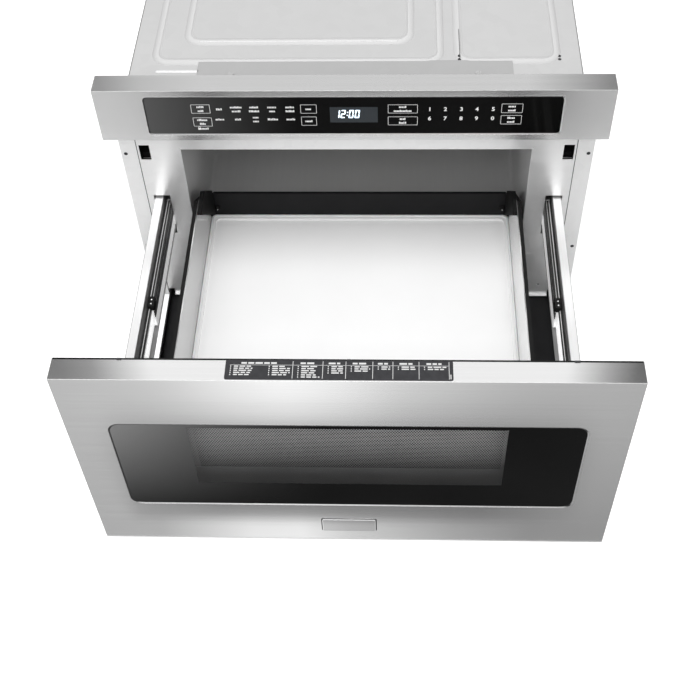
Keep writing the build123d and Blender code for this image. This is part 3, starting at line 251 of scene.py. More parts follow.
class Finish:
    """A material being set up. Its textures read the piece's own coordinates, so they ride with it."""

    def __init__(self, name, sockets):
        self.material = bpy.data.materials.new(name)
        self.material.use_nodes = True
        self.tree = self.material.node_tree
        self.shader = self.tree.nodes["Principled BSDF"]
        for socket, value in sockets.items():
            self.shader.inputs[socket].default_value = value
        self.place = self.add("ShaderNodeTexCoord").outputs["Object"]

    def add(self, kind, inputs=None, **properties):
        """A new node with these properties, and these inputs linked or set."""
        node = self.tree.nodes.new(kind)
        for name, value in properties.items():
            setattr(node, name, value)
        for socket, value in (inputs or {}).items():
            self.feed(node.inputs[socket], value)
        return node

    def feed(self, socket, value):
        """Links a socket to another node's output, or sets its value."""
        if isinstance(value, bpy.types.NodeSocket):
            self.tree.links.new(value, socket)
        else:
            socket.default_value = value

    def set(self, socket, value):
        """Feeds a socket of the shader itself."""
        self.feed(self.shader.inputs[socket], value)
        return self

    def stretched(self, stretch):
        return self.add("ShaderNodeMapping", {"Vector": self.place, "Scale": stretch}).outputs[0]

    def noise(self, scale, stretch=(1, 1, 1), detail=3.0):
        """Cloudy noise with this many features to the metre."""
        inputs = {"Vector": self.stretched(stretch), "Scale": scale, "Detail": detail}
        return self.add("ShaderNodeTexNoise", inputs).outputs[0]

    def cells(self, scale, output="Color", stretch=(1, 1, 1)):
        inputs = {"Vector": self.stretched(stretch), "Scale": scale}
        return self.add("ShaderNodeTexVoronoi", inputs).outputs[output]

    def axis(self, name):
        return self.add("ShaderNodeSeparateXYZ", {"Vector": self.place}).outputs[name]

    def maths(self, operation, first, second=0.0):
        return self.add("ShaderNodeMath", {0: first, 1: second}, operation=operation).outputs[0]

    def spread(self, factor, low, high, start=NOISE_LOW, end=NOISE_HIGH):
        """The factor's run from start to end, as a value from low to high."""
        inputs = {"Value": factor, "From Min": start, "From Max": end, "To Min": low, "To Max": high}
        return self.add("ShaderNodeMapRange", inputs).outputs[0]

    def ramp(self, factor, *stops):
        """A colour ramp through (place, colour) stops."""
        node = self.add("ShaderNodeValToRGB", {"Fac": factor})
        elements = node.color_ramp.elements
        elements[0].position = stops[0][0]
        elements[1].position = stops[-1][0]
        for place, _ in stops[1:-1]:
            elements.new(place)
        for element, (_, tone) in zip(elements, stops):
            element.color = (*tone[:3], 1.0)
        return node.outputs["Color"]

    def tones(self, factor, base, darker, lighter):
        """The base colour, varied by a noise between two shares of itself."""
        return self.ramp(factor, (NOISE_LOW, shade(base, darker)), (NOISE_HIGH, shade(base, lighter)))

    def greys(self, factor, darker, lighter):
        """A grey that a noise varies between two levels."""
        return self.ramp(factor, (NOISE_LOW, grey(darker)), (NOISE_HIGH, grey(lighter)))

    def mix(self, factor, first, second):
        """The first colour where the factor is 0, the second where it is 1."""
        node = self.add("ShaderNodeMix", data_type="RGBA")
        self.feed(node.inputs[0], factor)
        for socket, value in ((node.inputs[6], first), (node.inputs[7], second)):
            self.feed(socket, value if isinstance(value, bpy.types.NodeSocket) else (*value[:3], 1.0))
        return node.outputs[2]

    def bump(self, height, distance, strength=1.0, edge=0.0):
        """Relief from a height; an edge radius also rounds the corners of the sheet."""
        inputs = {"Height": height, "Distance": distance, "Strength": strength}
        if edge:
            inputs["Normal"] = self.add("ShaderNodeBevel", {"Radius": edge}, samples=6).outputs[0]
        self.set("Normal", self.add("ShaderNodeBump", inputs).outputs[0])
        return self

    def inside(self, axis, low, high, soft=0.5 * MM):
        """A mask that is 1 between low and high on an axis."""
        value = self.axis(axis)
        rise = self.spread(value, 0.0, 1.0, low - soft, low)
        fall = self.spread(value, 1.0, 0.0, high, high + soft)
        return self.maths("MULTIPLY", rise, fall)

    def between(self, value, low, high, soft=0.15 * MM):
        """1 where a value lies between two limits, 0 outside them."""
        above = self.spread(value, 0.0, 1.0, low - soft, low + soft)
        return self.maths("MULTIPLY", above, self.spread(value, 1.0, 0.0, high - soft, high + soft))


def shade(base, factor):
    """A colour made lighter or darker by a factor."""
    return tuple(min(1.0, channel * factor) for channel in base[:3])


def grey(level):
    return (level,) * 3


def brushed_steel(name, base, roughness, strength, edge=1.1 * MM):
    """Sheet with a grain along X: long fine streaks in the colour, the gloss and the surface."""
    finish = Finish(name, {"Metallic": 1.0})
    long_grain = finish.noise(1.0, (2.5, 900, 900))
    fine_grain = finish.noise(1.0, (12, 2400, 2400), 2.0)
    streaks = finish.noise(1.0, (1.6, 330, 330), 2.0)
    cloud = finish.noise(3.0, (0.6, 2.0, 2.0), 2.0)
    both = finish.maths(
        "ADD", finish.maths("MULTIPLY", long_grain, 0.45), finish.maths("MULTIPLY", fine_grain, 0.55)
    )
    dark, light = shade(base, 1 - strength), shade(base, 1 + strength)
    tone = finish.ramp(both, (NOISE_LOW, dark), (0.5, base), (NOISE_HIGH, light))
    streaked = finish.mix(finish.spread(streaks, 0.0, 0.5), tone, shade(base, 1 - 4 * strength))
    finish.set("Base Color", finish.mix(finish.spread(cloud, 0.0, 0.25), streaked, shade(base, 0.93)))
    finish.set("Roughness", finish.spread(both, roughness * 0.98, roughness * 1.03))
    return finish.bump(both, 0.8 * MICRON, 0.2, edge=edge)


def galvanised_sheet(name, base, edge=0.8 * MM):
    """Zinc-coated sheet: faint spangle, dull gloss and a slow change of tone."""
    finish = Finish(name, {"Metallic": 0.65, "Specular IOR Level": 0.5})
    spangle = finish.cells(75.0)
    grain = finish.add("ShaderNodeRGBToBW", {"Color": spangle}).outputs[0]
    cloud = finish.noise(9.0)
    tone = finish.ramp(grain, (0.0, shade(base, 0.975)), (1.0, shade(base, 1.025)))
    finish.set("Base Color", finish.mix(finish.spread(cloud, 0.0, 0.3), tone, shade(base, 0.94)))
    finish.set("Roughness", finish.spread(grain, 0.30, 0.38, 0.0, 1.0))
    return finish.bump(finish.noise(420.0, detail=2.0), 20 * MICRON, 0.2, edge=edge)


def drawn_zinc(base):
    """Zinc-coated sheet where it was drawn, duller than the flat sheet and a little darker; the darker tone is partly
    painted shade.
    """
    finish = Finish("drawn_sheet", {"Metallic": 0.1, "Specular IOR Level": 0.3})
    cloud = finish.noise(9.0)
    finish.set("Base Color", finish.tones(cloud, base, 0.89, 0.93))
    return finish.set("Roughness", finish.spread(cloud, 0.55, 0.65))


def scuffed_edge_and_painted_light(name, tone):
    """A folded or pressed edge of the zinc-coated sheet, scuffed unevenly; it paints shade on the folds and highlights
    on the ridges.
    """
    finish = Finish(name, {"Metallic": 0.5})
    scuff = finish.noise(500.0, (1, 0.2, 1))
    finish.set("Base Color", finish.greys(scuff, tone * 0.85, tone))
    return finish.set("Roughness", finish.spread(scuff, 0.4, 0.6))


def cavity_steel(base):
    """Satin sheet of the cavity, a little darker in patches where it was drawn."""
    finish = Finish("cavity_steel", {"Metallic": 0.35, "Specular IOR Level": 0.5})
    streaks = finish.noise(1.0, (260, 8, 260))
    cloud = finish.noise(6.0)
    tone = finish.tones(streaks, base, 0.985, 1.015)
    finish.set("Base Color", finish.mix(finish.spread(cloud, 0.0, 0.5), tone, shade(base, 0.90)))
    finish.set("Roughness", finish.spread(streaks, 0.33, 0.37))
    return finish.bump(streaks, 4 * MICRON, 0.3)


def polished_tray(base):
    """Polished sheet of the tray. Its left wall has a darker base colour: painted shade."""
    finish = Finish("tray_steel", {"Metallic": 1.0})
    grain = finish.noise(1.0, (900, 14, 900))
    smears = finish.noise(14.0, (1, 0.5, 1))
    tone = finish.tones(grain, base, 0.97, 1.03)
    # Painted shade: the left wall is coloured darker.
    left = finish.spread(finish.axis("X"), 1.0, 0.0, -203 * MM, -199 * MM)
    finish.set("Base Color", finish.mix(finish.maths("MULTIPLY", left, 0.85), tone, shade(base, 0.52)))
    finish.set("Roughness", finish.spread(smears, 0.16, 0.22))
    return finish.bump(grain, 4 * MICRON, 0.2)


def bright_zinc(base):
    """Bright zinc of the fixed rails, drawn along Y, with a slow blotch."""
    finish = Finish("rail_zinc", {"Metallic": 1.0})
    drawn = finish.noise(1.0, (1800, 8, 1800))
    blotch = finish.noise(60.0, (1, 0.3, 1))
    tone = finish.tones(drawn, base, 0.97, 1.03)
    finish.set("Base Color", finish.mix(finish.spread(blotch, 0.0, 0.35), tone, shade(base, 0.94)))
    finish.set("Roughness", finish.spread(drawn, 0.24, 0.30))
    return finish.bump(drawn, 6 * MICRON, 0.2, edge=0.4 * MM)


def bracket_zinc(base):
    """Bright zinc of the drawer's brackets, with painted shade: a darker base colour along the shelf's two edges."""
    finish = Finish("bracket_zinc", {"Metallic": 0.75, "Specular IOR Level": 0.5})
    drawn = finish.noise(1.0, (900, 6, 900), 2.0)
    aside = finish.maths("ABSOLUTE", finish.axis("X"))
    outer = finish.spread(aside, 0.0, 1.0, 262.1 * MM, 262.4 * MM)
    inner = finish.spread(aside, 1.0, 0.0, 252.5 * MM, 252.8 * MM)
    tone = finish.tones(drawn, base, 0.91, 0.95)
    # Painted shade along the two edges of the shelf.
    edges = finish.maths("MULTIPLY", finish.maths("MAXIMUM", outer, inner), 0.8)
    finish.set("Base Color", finish.mix(edges, tone, shade(base, 0.35)))
    return finish.set("Roughness", finish.spread(drawn, 0.34, 0.40))


# Painted highlight lines along a slide: place, width and brightness. The places are millimetres down from its top on
# its side, and millimetres from the middle of the oven on its top.
SIDE_HIGHLIGHT_LINES = ((1.6, 0.9, 0.5), (7.2, 1.2, 0.9), (13.0, 0.8, 0.45), (17.5, 1.0, 0.6))
TOP_HIGHLIGHT_LINES = ((245.4, 0.7, 0.5), (248.6, 0.8, 0.8))


def slide_steel(base, rail_top):
    """Dark slide with painted highlight lines along it, and a painted bright lower edge that also glows."""
    # The emission makes the lower edge glow, though it is no lamp: painted light.
    finish = Finish("slide_steel", {"Metallic": 0.2, "Specular IOR Level": 0.2, "Emission Strength": 0.4})
    wear = finish.noise(1.0, (400, 12, 400))
    aside = finish.maths("ABSOLUTE", finish.axis("X"))
    drop = finish.maths("SUBTRACT", rail_top, finish.axis("Z"))
    dark = finish.greys(wear, 0.016, 0.034)
    lines = 0.0
    for start, wide, share in SIDE_HIGHLIGHT_LINES:
        line = finish.maths("MULTIPLY", finish.between(drop, start * MM, (start + wide) * MM), share)
        lines = finish.maths("MAXIMUM", lines, line)
    on_top = finish.spread(drop, 1.0, 0.0, 0.2 * MM, 0.3 * MM)
    for start, wide, share in TOP_HIGHLIGHT_LINES:
        top_highlight = finish.maths("MULTIPLY", finish.between(aside, start * MM, (start + wide) * MM), share)
        lines = finish.maths("MAXIMUM", lines, finish.maths("MULTIPLY", top_highlight, on_top))
    # The bright, glowing lower edge is a painted highlight.
    lower = finish.spread(drop, 0.0, 1.0, 20.0 * MM, 20.6 * MM)
    bright = finish.maths("MAXIMUM", lines, lower)
    finish.set("Base Color", finish.mix(bright, dark, shade(base, 0.9)))
    finish.set("Emission Color", finish.mix(lower, (0.0, 0.0, 0.0), base))
    return finish.set("Roughness", finish.spread(wear, 0.30, 0.42))


def ground_steel(base):
    """Fine-ground steel of the ball cages, rivets and small heads."""
    finish = Finish("bearing_steel", {"Metallic": 1.0})
    marks = finish.noise(900.0)
    finish.set("Base Color", finish.tones(marks, base, 0.9, 1.1))
    finish.set("Roughness", finish.spread(marks, 0.12, 0.24))
    return finish.bump(marks, 10 * MICRON, 0.2)


def black_screws():
    """Blackened screw heads with a little wear."""
    finish = Finish("black_screws", {"Metallic": 0.3, "Specular IOR Level": 0.2})
    wear = finish.noise(900.0)
    finish.set("Base Color", finish.ramp(wear, (0.45, grey(0.012)), (0.8, grey(0.05))))
    return finish.set("Roughness", finish.spread(wear, 0.45, 0.6))


def turned_steel(base):
    """Plated screws and shafts with turning marks round them."""
    finish = Finish("machined_steel", {"Metallic": 1.0})
    turning = finish.noise(1.0, (2600, 300, 2600))
    grime = finish.noise(220.0)
    tone = finish.tones(turning, base, 0.88, 1.1)
    finish.set("Base Color", finish.mix(finish.spread(grime, 0.0, 0.4), tone, shade(base, 0.7)))
    finish.set("Roughness", finish.spread(turning, 0.24, 0.36))
    return finish.bump(turning, 20 * MICRON, 0.3)


def black_glass(name, gloss):
    """Back-printed black glass with the faintest wipe marks."""
    finish = Finish(name, {"IOR": 1.5, "Specular IOR Level": gloss})
    wipes = finish.noise(7.0, (0.5, 1, 2), 4.0)
    return finish.set("Roughness", finish.spread(wipes, 0.035, 0.075))


def painted_sheen(finish, fade, level):
    """Black print that turns grey where fade is 1. It imitates the reflection in the photograph."""
    haze = finish.noise(5.0, detail=2.0)
    return finish.set("Base Color", finish.mix(fade, finish.greys(haze, 0.003, 0.006), grey(level)))


def touch_glass():
    """The panel's glass, with a grey sheen painted towards its left end."""
    finish = black_glass("touch_glass", 0.04)
    fade = finish.spread(finish.axis("X"), 1.0, 0.0, TOUCH_LOW.x, -60 * MM)
    return painted_sheen(finish, finish.maths("POWER", fade, 1.6), 0.085)


def window_glass(door):
    """The door's glass: black print with a smoked window left clear in it and a painted reflection at its upper left.
    """
    finish = black_glass("door_glass", 0.06)
    across = finish.spread(finish.axis("X"), 1.0, 0.0, PANE_LOW.x, -20 * MM)
    upward = finish.spread(finish.axis("Z"), 0.12, 1.0, PANE_LOW.z, PANE_HIGH.z)
    fade = finish.maths("MULTIPLY", finish.maths("POWER", across, 1.5), finish.maths("POWER", upward, 1.25))
    painted_sheen(finish, fade, 0.196)
    sides = finish.inside("X", -door.window_half_width, door.window_half_width)
    ends = finish.inside("Z", door.window_bottom, door.window_top)
    window = finish.maths("MULTIPLY", sides, ends)
    print_layer = finish.spread(window, 1.0, 0.22, 0.0, 1.0)
    rear = PANE_HIGH.y
    face = finish.spread(finish.axis("Y"), 1.0, 0.0, rear - 0.6 * MM, rear - 0.3 * MM)
    return finish.set("Alpha", finish.maths("MULTIPLY", print_layer, face))


def white_ceramic(base):
    """Opaque white glass-ceramic of the tray's floor, with a very faint painted glow that brightens it."""
    base = grey(max(base))
    coat = {"Coat Weight": 0.25, "Coat Roughness": 0.06}
    finish = Finish("white_ceramic", {"IOR": 1.5, **coat, "Emission Strength": 0.03})
    cloud = finish.noise(11.0, detail=4.0)
    specks = finish.noise(1500.0, detail=1.0)
    tone = finish.tones(cloud, base, 0.985, 1.015)
    finish.set("Base Color", finish.mix(finish.spread(specks, 0.0, 0.06, 0.6, 0.9), tone, shade(base, 0.8)))
    finish.set("Roughness", finish.spread(cloud, 0.16, 0.24))
    return finish.bump(cloud, 60 * MICRON, 0.15)


def black_paint(base):
    """Satin enamel with the fine orange peel that spraying leaves."""
    finish = Finish("black_paint", {"Specular IOR Level": 0.12})
    peel = finish.noise(700.0, detail=2.0)
    cloud = finish.noise(25.0)
    finish.set("Base Color", finish.tones(cloud, base, 0.30, 0.45))
    finish.set("Roughness", finish.spread(cloud, 0.34, 0.46))
    return finish.bump(peel, 40 * MICRON, 0.35)


def black_plastic(base):
    """Moulded plastic with a spark-eroded grain."""
    finish = Finish("black_plastic", {"Specular IOR Level": 0.16})
    grain = finish.cells(1900.0, "Distance")
    cloud = finish.noise(40.0)
    finish.set("Base Color", finish.tones(cloud, base, 0.35, 0.55))
    finish.set("Roughness", finish.spread(grain, 0.42, 0.58, 0.0, 0.6))
    return finish.bump(grain, 50 * MICRON, 0.5)


def gloss_film(base):
    """Black film of the menu label, with a soft sheen and faint ripples."""
    finish = Finish("gloss_black", {"Specular IOR Level": 0.2})
    ripple = finish.noise(160.0, detail=2.0)
    finish.set("Base Color", finish.tones(ripple, base, 1.1, 1.5))
    finish.set("Roughness", finish.spread(ripple, 0.28, 0.36))
    return finish.bump(ripple, 20 * MICRON, 0.2)


def moulded_plastic(name, base, roughness):
    """Pale moulded plastic: slight mottling, a fine grain and light shining a little way in."""
    finish = Finish(name, {"Subsurface Weight": 0.08, "Subsurface Scale": 2 * MM})
    mottle = finish.noise(55.0, detail=4.0)
    grain = finish.noise(1500.0, detail=2.0)
    finish.set("Base Color", finish.tones(mottle, base, 0.95, 1.04))
    finish.set("Roughness", finish.spread(mottle, roughness * 0.9, roughness * 1.1))
    return finish.bump(grain, 30 * MICRON, 0.3)


def display_window(base):
    """Smoked window of the clock, with a faint dot grid and a dim glow behind it."""
    finish = Finish("display_window", {"Specular IOR Level": 0.3, "Emission Strength": 0.10})
    dots = finish.cells(900.0, "Distance", (1, 0.001, 1))
    cloud = finish.noise(45.0, detail=2.0)
    tint = shade(base, 0.11)
    finish.set("Base Color", finish.ramp(dots, (0.0, shade(tint, 1.15)), (0.5, tint)))
    finish.set("Emission Color", finish.tones(cloud, base, 0.16, 0.30))
    finish.set("Roughness", finish.spread(cloud, 0.12, 0.20))
    return finish


def circuit_board(base):
    """Solder mask with copper tracks under it and bright pads."""
    finish = Finish("circuit_board", {"Specular IOR Level": 0.5})
    tracks = finish.add(
        "ShaderNodeTexBrick",
        {"Vector": finish.stretched((1, 1, 1)), "Scale": 120.0, "Mortar Size": 0.06, "Bias": 0.0},
    ).outputs["Fac"]
    pads = finish.cells(380.0, "Distance")
    green = finish.mix(tracks, base, shade(base, 1.9))
    finish.set("Base Color", finish.mix(finish.spread(pads, 0.7, 0.0, 0.05, 0.16), green, (0.55, 0.53, 0.48)))
    finish.set("Roughness", finish.spread(pads, 0.25, 0.45, 0.0, 0.5))
    return finish.bump(tracks, 40 * MICRON, 0.4)


def iron_core(base):
    """Stacked laminations, darkened by varnish, with a copper shade where the coils sit."""
    finish = Finish("iron_core", {"Metallic": 0.5})
    sheets = finish.add(
        "ShaderNodeTexWave", {"Vector": finish.place, "Scale": 320.0, "Distortion": 0.4}, bands_direction="X"
    ).outputs["Fac"]
    blotch = finish.noise(70.0)
    varnish = finish.ramp(sheets, (0.2, shade(base, 0.7)), (0.8, shade(base, 1.4)))
    copper = finish.spread(blotch, 0.0, 0.6, 0.45, 0.75)
    finish.set("Base Color", finish.mix(copper, varnish, (0.42, 0.20, 0.09)))
    finish.set("Roughness", finish.spread(blotch, 0.38, 0.55))
    return finish.bump(sheets, 80 * MICRON, 0.5)


def aluminium(base):
    """Drawn aluminium, dulled in patches."""
    finish = Finish("aluminium", {"Metallic": 1.0})
    drawn = finish.noise(1.0, (1200, 1200, 40))
    dull = finish.noise(90.0)
    finish.set("Base Color", finish.tones(drawn, base, 0.93, 1.06))
    finish.set("Roughness", finish.spread(dull, 0.28, 0.42))
    return finish.bump(drawn, 20 * MICRON, 0.3)


def lamp_glass(base):
    """Frosted lens with pressed prisms."""
    finish = Finish("lamp_glass", {"Transmission Weight": 0.5, "IOR": 1.5})
    prisms = finish.cells(420.0, "Distance")
    finish.set("Base Color", finish.ramp(prisms, (0.0, base), (0.6, shade(base, 0.86))))
    finish.set("Roughness", finish.spread(prisms, 0.28, 0.42, 0.0, 0.6))
    return finish.bump(prisms, 200 * MICRON, 0.5)


def printed_ink(name, base, glow=0.0):
    """Screen-printed ink, a touch uneven."""
    finish = Finish(name, {"Emission Strength": glow, "Specular IOR Level": 0.3})
    speckle = finish.noise(2200.0, detail=2.0)
    tone = finish.tones(speckle, base, 0.90, 1.0)
    finish.set("Base Color", tone)
    if glow:
        finish.set("Emission Color", tone)
    return finish.set("Roughness", finish.spread(speckle, 0.35, 0.5))


def rubber_and_painted_shade(base):
    """Dull rubber with a light bloom; the same finish colours the dark discs of painted shade in holes."""
    finish = Finish("soft_rubber", {"Specular IOR Level": 0.3})
    bloom = finish.noise(300.0)
    finish.set("Base Color", finish.tones(bloom, base, 0.8, 1.4))
    finish.set("Roughness", finish.spread(bloom, 0.6, 0.75))
    return finish.bump(bloom, 50 * MICRON, 0.4)


# ---------------------------------------------------------------------------------------------------------------------
# Shapes
# ---------------------------------------------------------------------------------------------------------------------


def rounded_outline(low, high, radius, steps=6):
    """Corner points of a rounded rectangle between two (u, v) corners, all the way round."""
    points = []
    centres = [
        (high[0] - radius, high[1] - radius, 0),
        (low[0] + radius, high[1] - radius, 90),
        (low[0] + radius, low[1] + radius, 180),
        (high[0] - radius, low[1] + radius, 270),
    ]
    for u, v, start in centres:
        for step in range(steps + 1):
            turn = math.radians(start + 90 * step / steps)
            points.append((u + radius * math.cos(turn), v + radius * math.sin(turn)))
    return points


def inset_outline(low, high, inset, radius, steps=6):
    """A rounded rectangle this far inside two (u, v) corners, or outside them if the inset is negative."""
    start, end = (low[0] + inset, low[1] + inset), (high[0] - inset, high[1] - inset)
    return rounded_outline(start, end, radius, steps)


def front_corners(low, high):
    """The (u, v) corners of a box for a drawing that faces the front."""
    return (low.x, low.z), (high.x, high.z)


def circle_outline(centre, radius, steps=24):
    """Points all the way round a circle."""
    turns = [2 * math.pi * step / steps for step in range(steps)]
    return [(centre[0] + radius * math.cos(turn), centre[1] + radius * math.sin(turn)) for turn in turns]


def standing(u, v, depth):
    """A point of a drawing that faces the front."""
    return (u, depth, v)


def sideways(u, v, depth):
    """A point of an outline drawn from the side: Y, Z and the place along X."""
    return (depth, u, v)


def lying(u, v, depth):
    """A point of a drawing that faces up."""
    return (u, v, depth)


class Sketch:
    """Points and faces of one piece, gathered from prisms, rings and lofts."""

    def __init__(self, turn):
        self.turn = turn
        self.points = []
        self.faces = []

    def loop(self, outline, depth):
        start = len(self.points)
        self.points.extend(self.turn(u, v, depth) for u, v in outline)
        return list(range(start, len(self.points)))

    def bridge(self, first, second):
        count = len(first)
        for k in range(count):
            after = (k + 1) % count
            self.faces.append((first[k], first[after], second[after], second[k]))

    def prism(self, outline, front, back):
        near = self.loop(outline, front)
        far = self.loop(outline, back)
        self.bridge(near, far)
        self.faces.append(tuple(reversed(near)))
        self.faces.append(tuple(far))
        return self

    def box(self, low, high, front, back):
        corners = [(low[0], low[1]), (high[0], low[1]), (high[0], high[1]), (low[0], high[1])]
        return self.prism(corners, front, back)

    def loft(self, stations, closed=False):
        """Skins through (outline, depth) stations of equal point counts; closed joins the last to the first.
        Unless it is closed, both ends are capped."""
        loops = [self.loop(outline, depth) for outline, depth in stations]
        for first, second in zip(loops, loops[1:]):
            self.bridge(first, second)
        if closed:
            self.bridge(loops[-1], loops[0])
        else:
            self.faces.append(tuple(reversed(loops[0])))
            self.faces.append(tuple(loops[-1]))
        return self

    def ring(self, outer, inner, near, far):
        """A flat ring between two outlines."""
        return self.loft([(outer, near), (inner, near), (inner, far), (outer, far)], closed=True)

    def turned(self, centre, rings, depth, steps=24):
        """A turned form through rings of (radius, height over the depth), both in millimetres."""
        stations = [(circle_outline(centre, radius * MM, steps), depth + rise * MM) for radius, rise in rings]
        return self.loft(stations)

    def piece(self, name, body, finish, slot, smooth=False):
        mesh = bpy.data.meshes.new(name)
        mesh.from_pydata(self.points, [], self.faces)
        mesh.validate()
        return add_piece(name, mesh, body, finish, smooth)


def add_piece(name, mesh, body, finish, smooth=False):
    """A new visible piece that rides on a body and takes the given finish."""
    made = bpy.data.objects.new(name, mesh)
    bpy.context.scene.collection.objects.link(made)
    fix_normals(mesh)
    for polygon in mesh.polygons:
        polygon.use_smooth = smooth
    mesh.materials.clear()
    mesh.materials.append(finish.material)
    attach(made, body)
    return made


def fix_normals(mesh):
    """Turns every face of a mesh outwards."""
    work = bmesh.new()
    work.from_mesh(mesh)
    bmesh.ops.recalc_face_normals(work, faces=work.faces)
    work.to_mesh(mesh)
    work.free()


def dress(slot, finish):
    """Gives every CAD node of a slot its finish."""
    for name in NODES_OF_FINISH[slot]:
        dress_node(name, finish)


def dress_node(name, finish):
    """Gives one CAD node its finish."""
    materials = NODES[name].data.materials
    materials.clear()
    materials.append(finish.material)


def settings():
    return bpy.context.scene.microwave_drawer


# ---------------------------------------------------------------------------------------------------------------------
# Case
# ---------------------------------------------------------------------------------------------------------------------

# The front frame and flanges are a lit copy of the case's sheet, coloured this much lighter: painted light.
# The bracket is coloured this much darker than its metal's setting.
FRAME_TONE = 1.66
BRACKET_TONE = 0.94

# Black discs of painted shade in the flanges' screw holes: distance aside, heights and radius.
SHADE_DISC_ASIDE = 288 * MM
SHADE_DISC_HEIGHTS = (113 * MM, 279 * MM)
SHADE_DISC_RADIUS = 2.4 * MM
JOINT_SIDES = (272.5 * MM, 273.3 * MM)
JOINT_FOOT, JOINT_TOP = 16 * MM, 371 * MM

CASE_TOP = 374 * MM
EMBOSS_RISE = 2 * MM
EMBOSS_RADIUS = 14 * MM
# Raised fields of the case's top: two (x, y) corners and the height each rises from.
EMBOSSES = [
    ((-241 * MM, 60 * MM), (100 * MM, 525 * MM), CASE_TOP),
    ((-205 * MM, 96 * MM), (64 * MM, 489 * MM), CASE_TOP + EMBOSS_RISE),
    ((128 * MM, 60 * MM), (241 * MM, 525 * MM), CASE_TOP),
]
SEAM_CORNERS = ((126.8 * MM, 62 * MM), (127.5 * MM, 118 * MM))
# Holes beside the seam: x, y and how far the painted shade of each stands over the case's top, in millimetres.
SEAM_HOLES = [(126.6, 60.5, 0.75), (126.6, 66.5, 1.45), (247.0, 60.5, 0.12), (247.0, 66.5, 0.5)]
SEAM_HOLE_RADIUS = 2.1 * MM
FOLD_WIDTH = 1.1 * MM
RIDGE_CORNERS = ((-241 * MM, 37 * MM), (-187 * MM, 42 * MM))
GLINT_CORNERS = ((-192 * MM, 92.6 * MM), (51 * MM, 93.6 * MM))


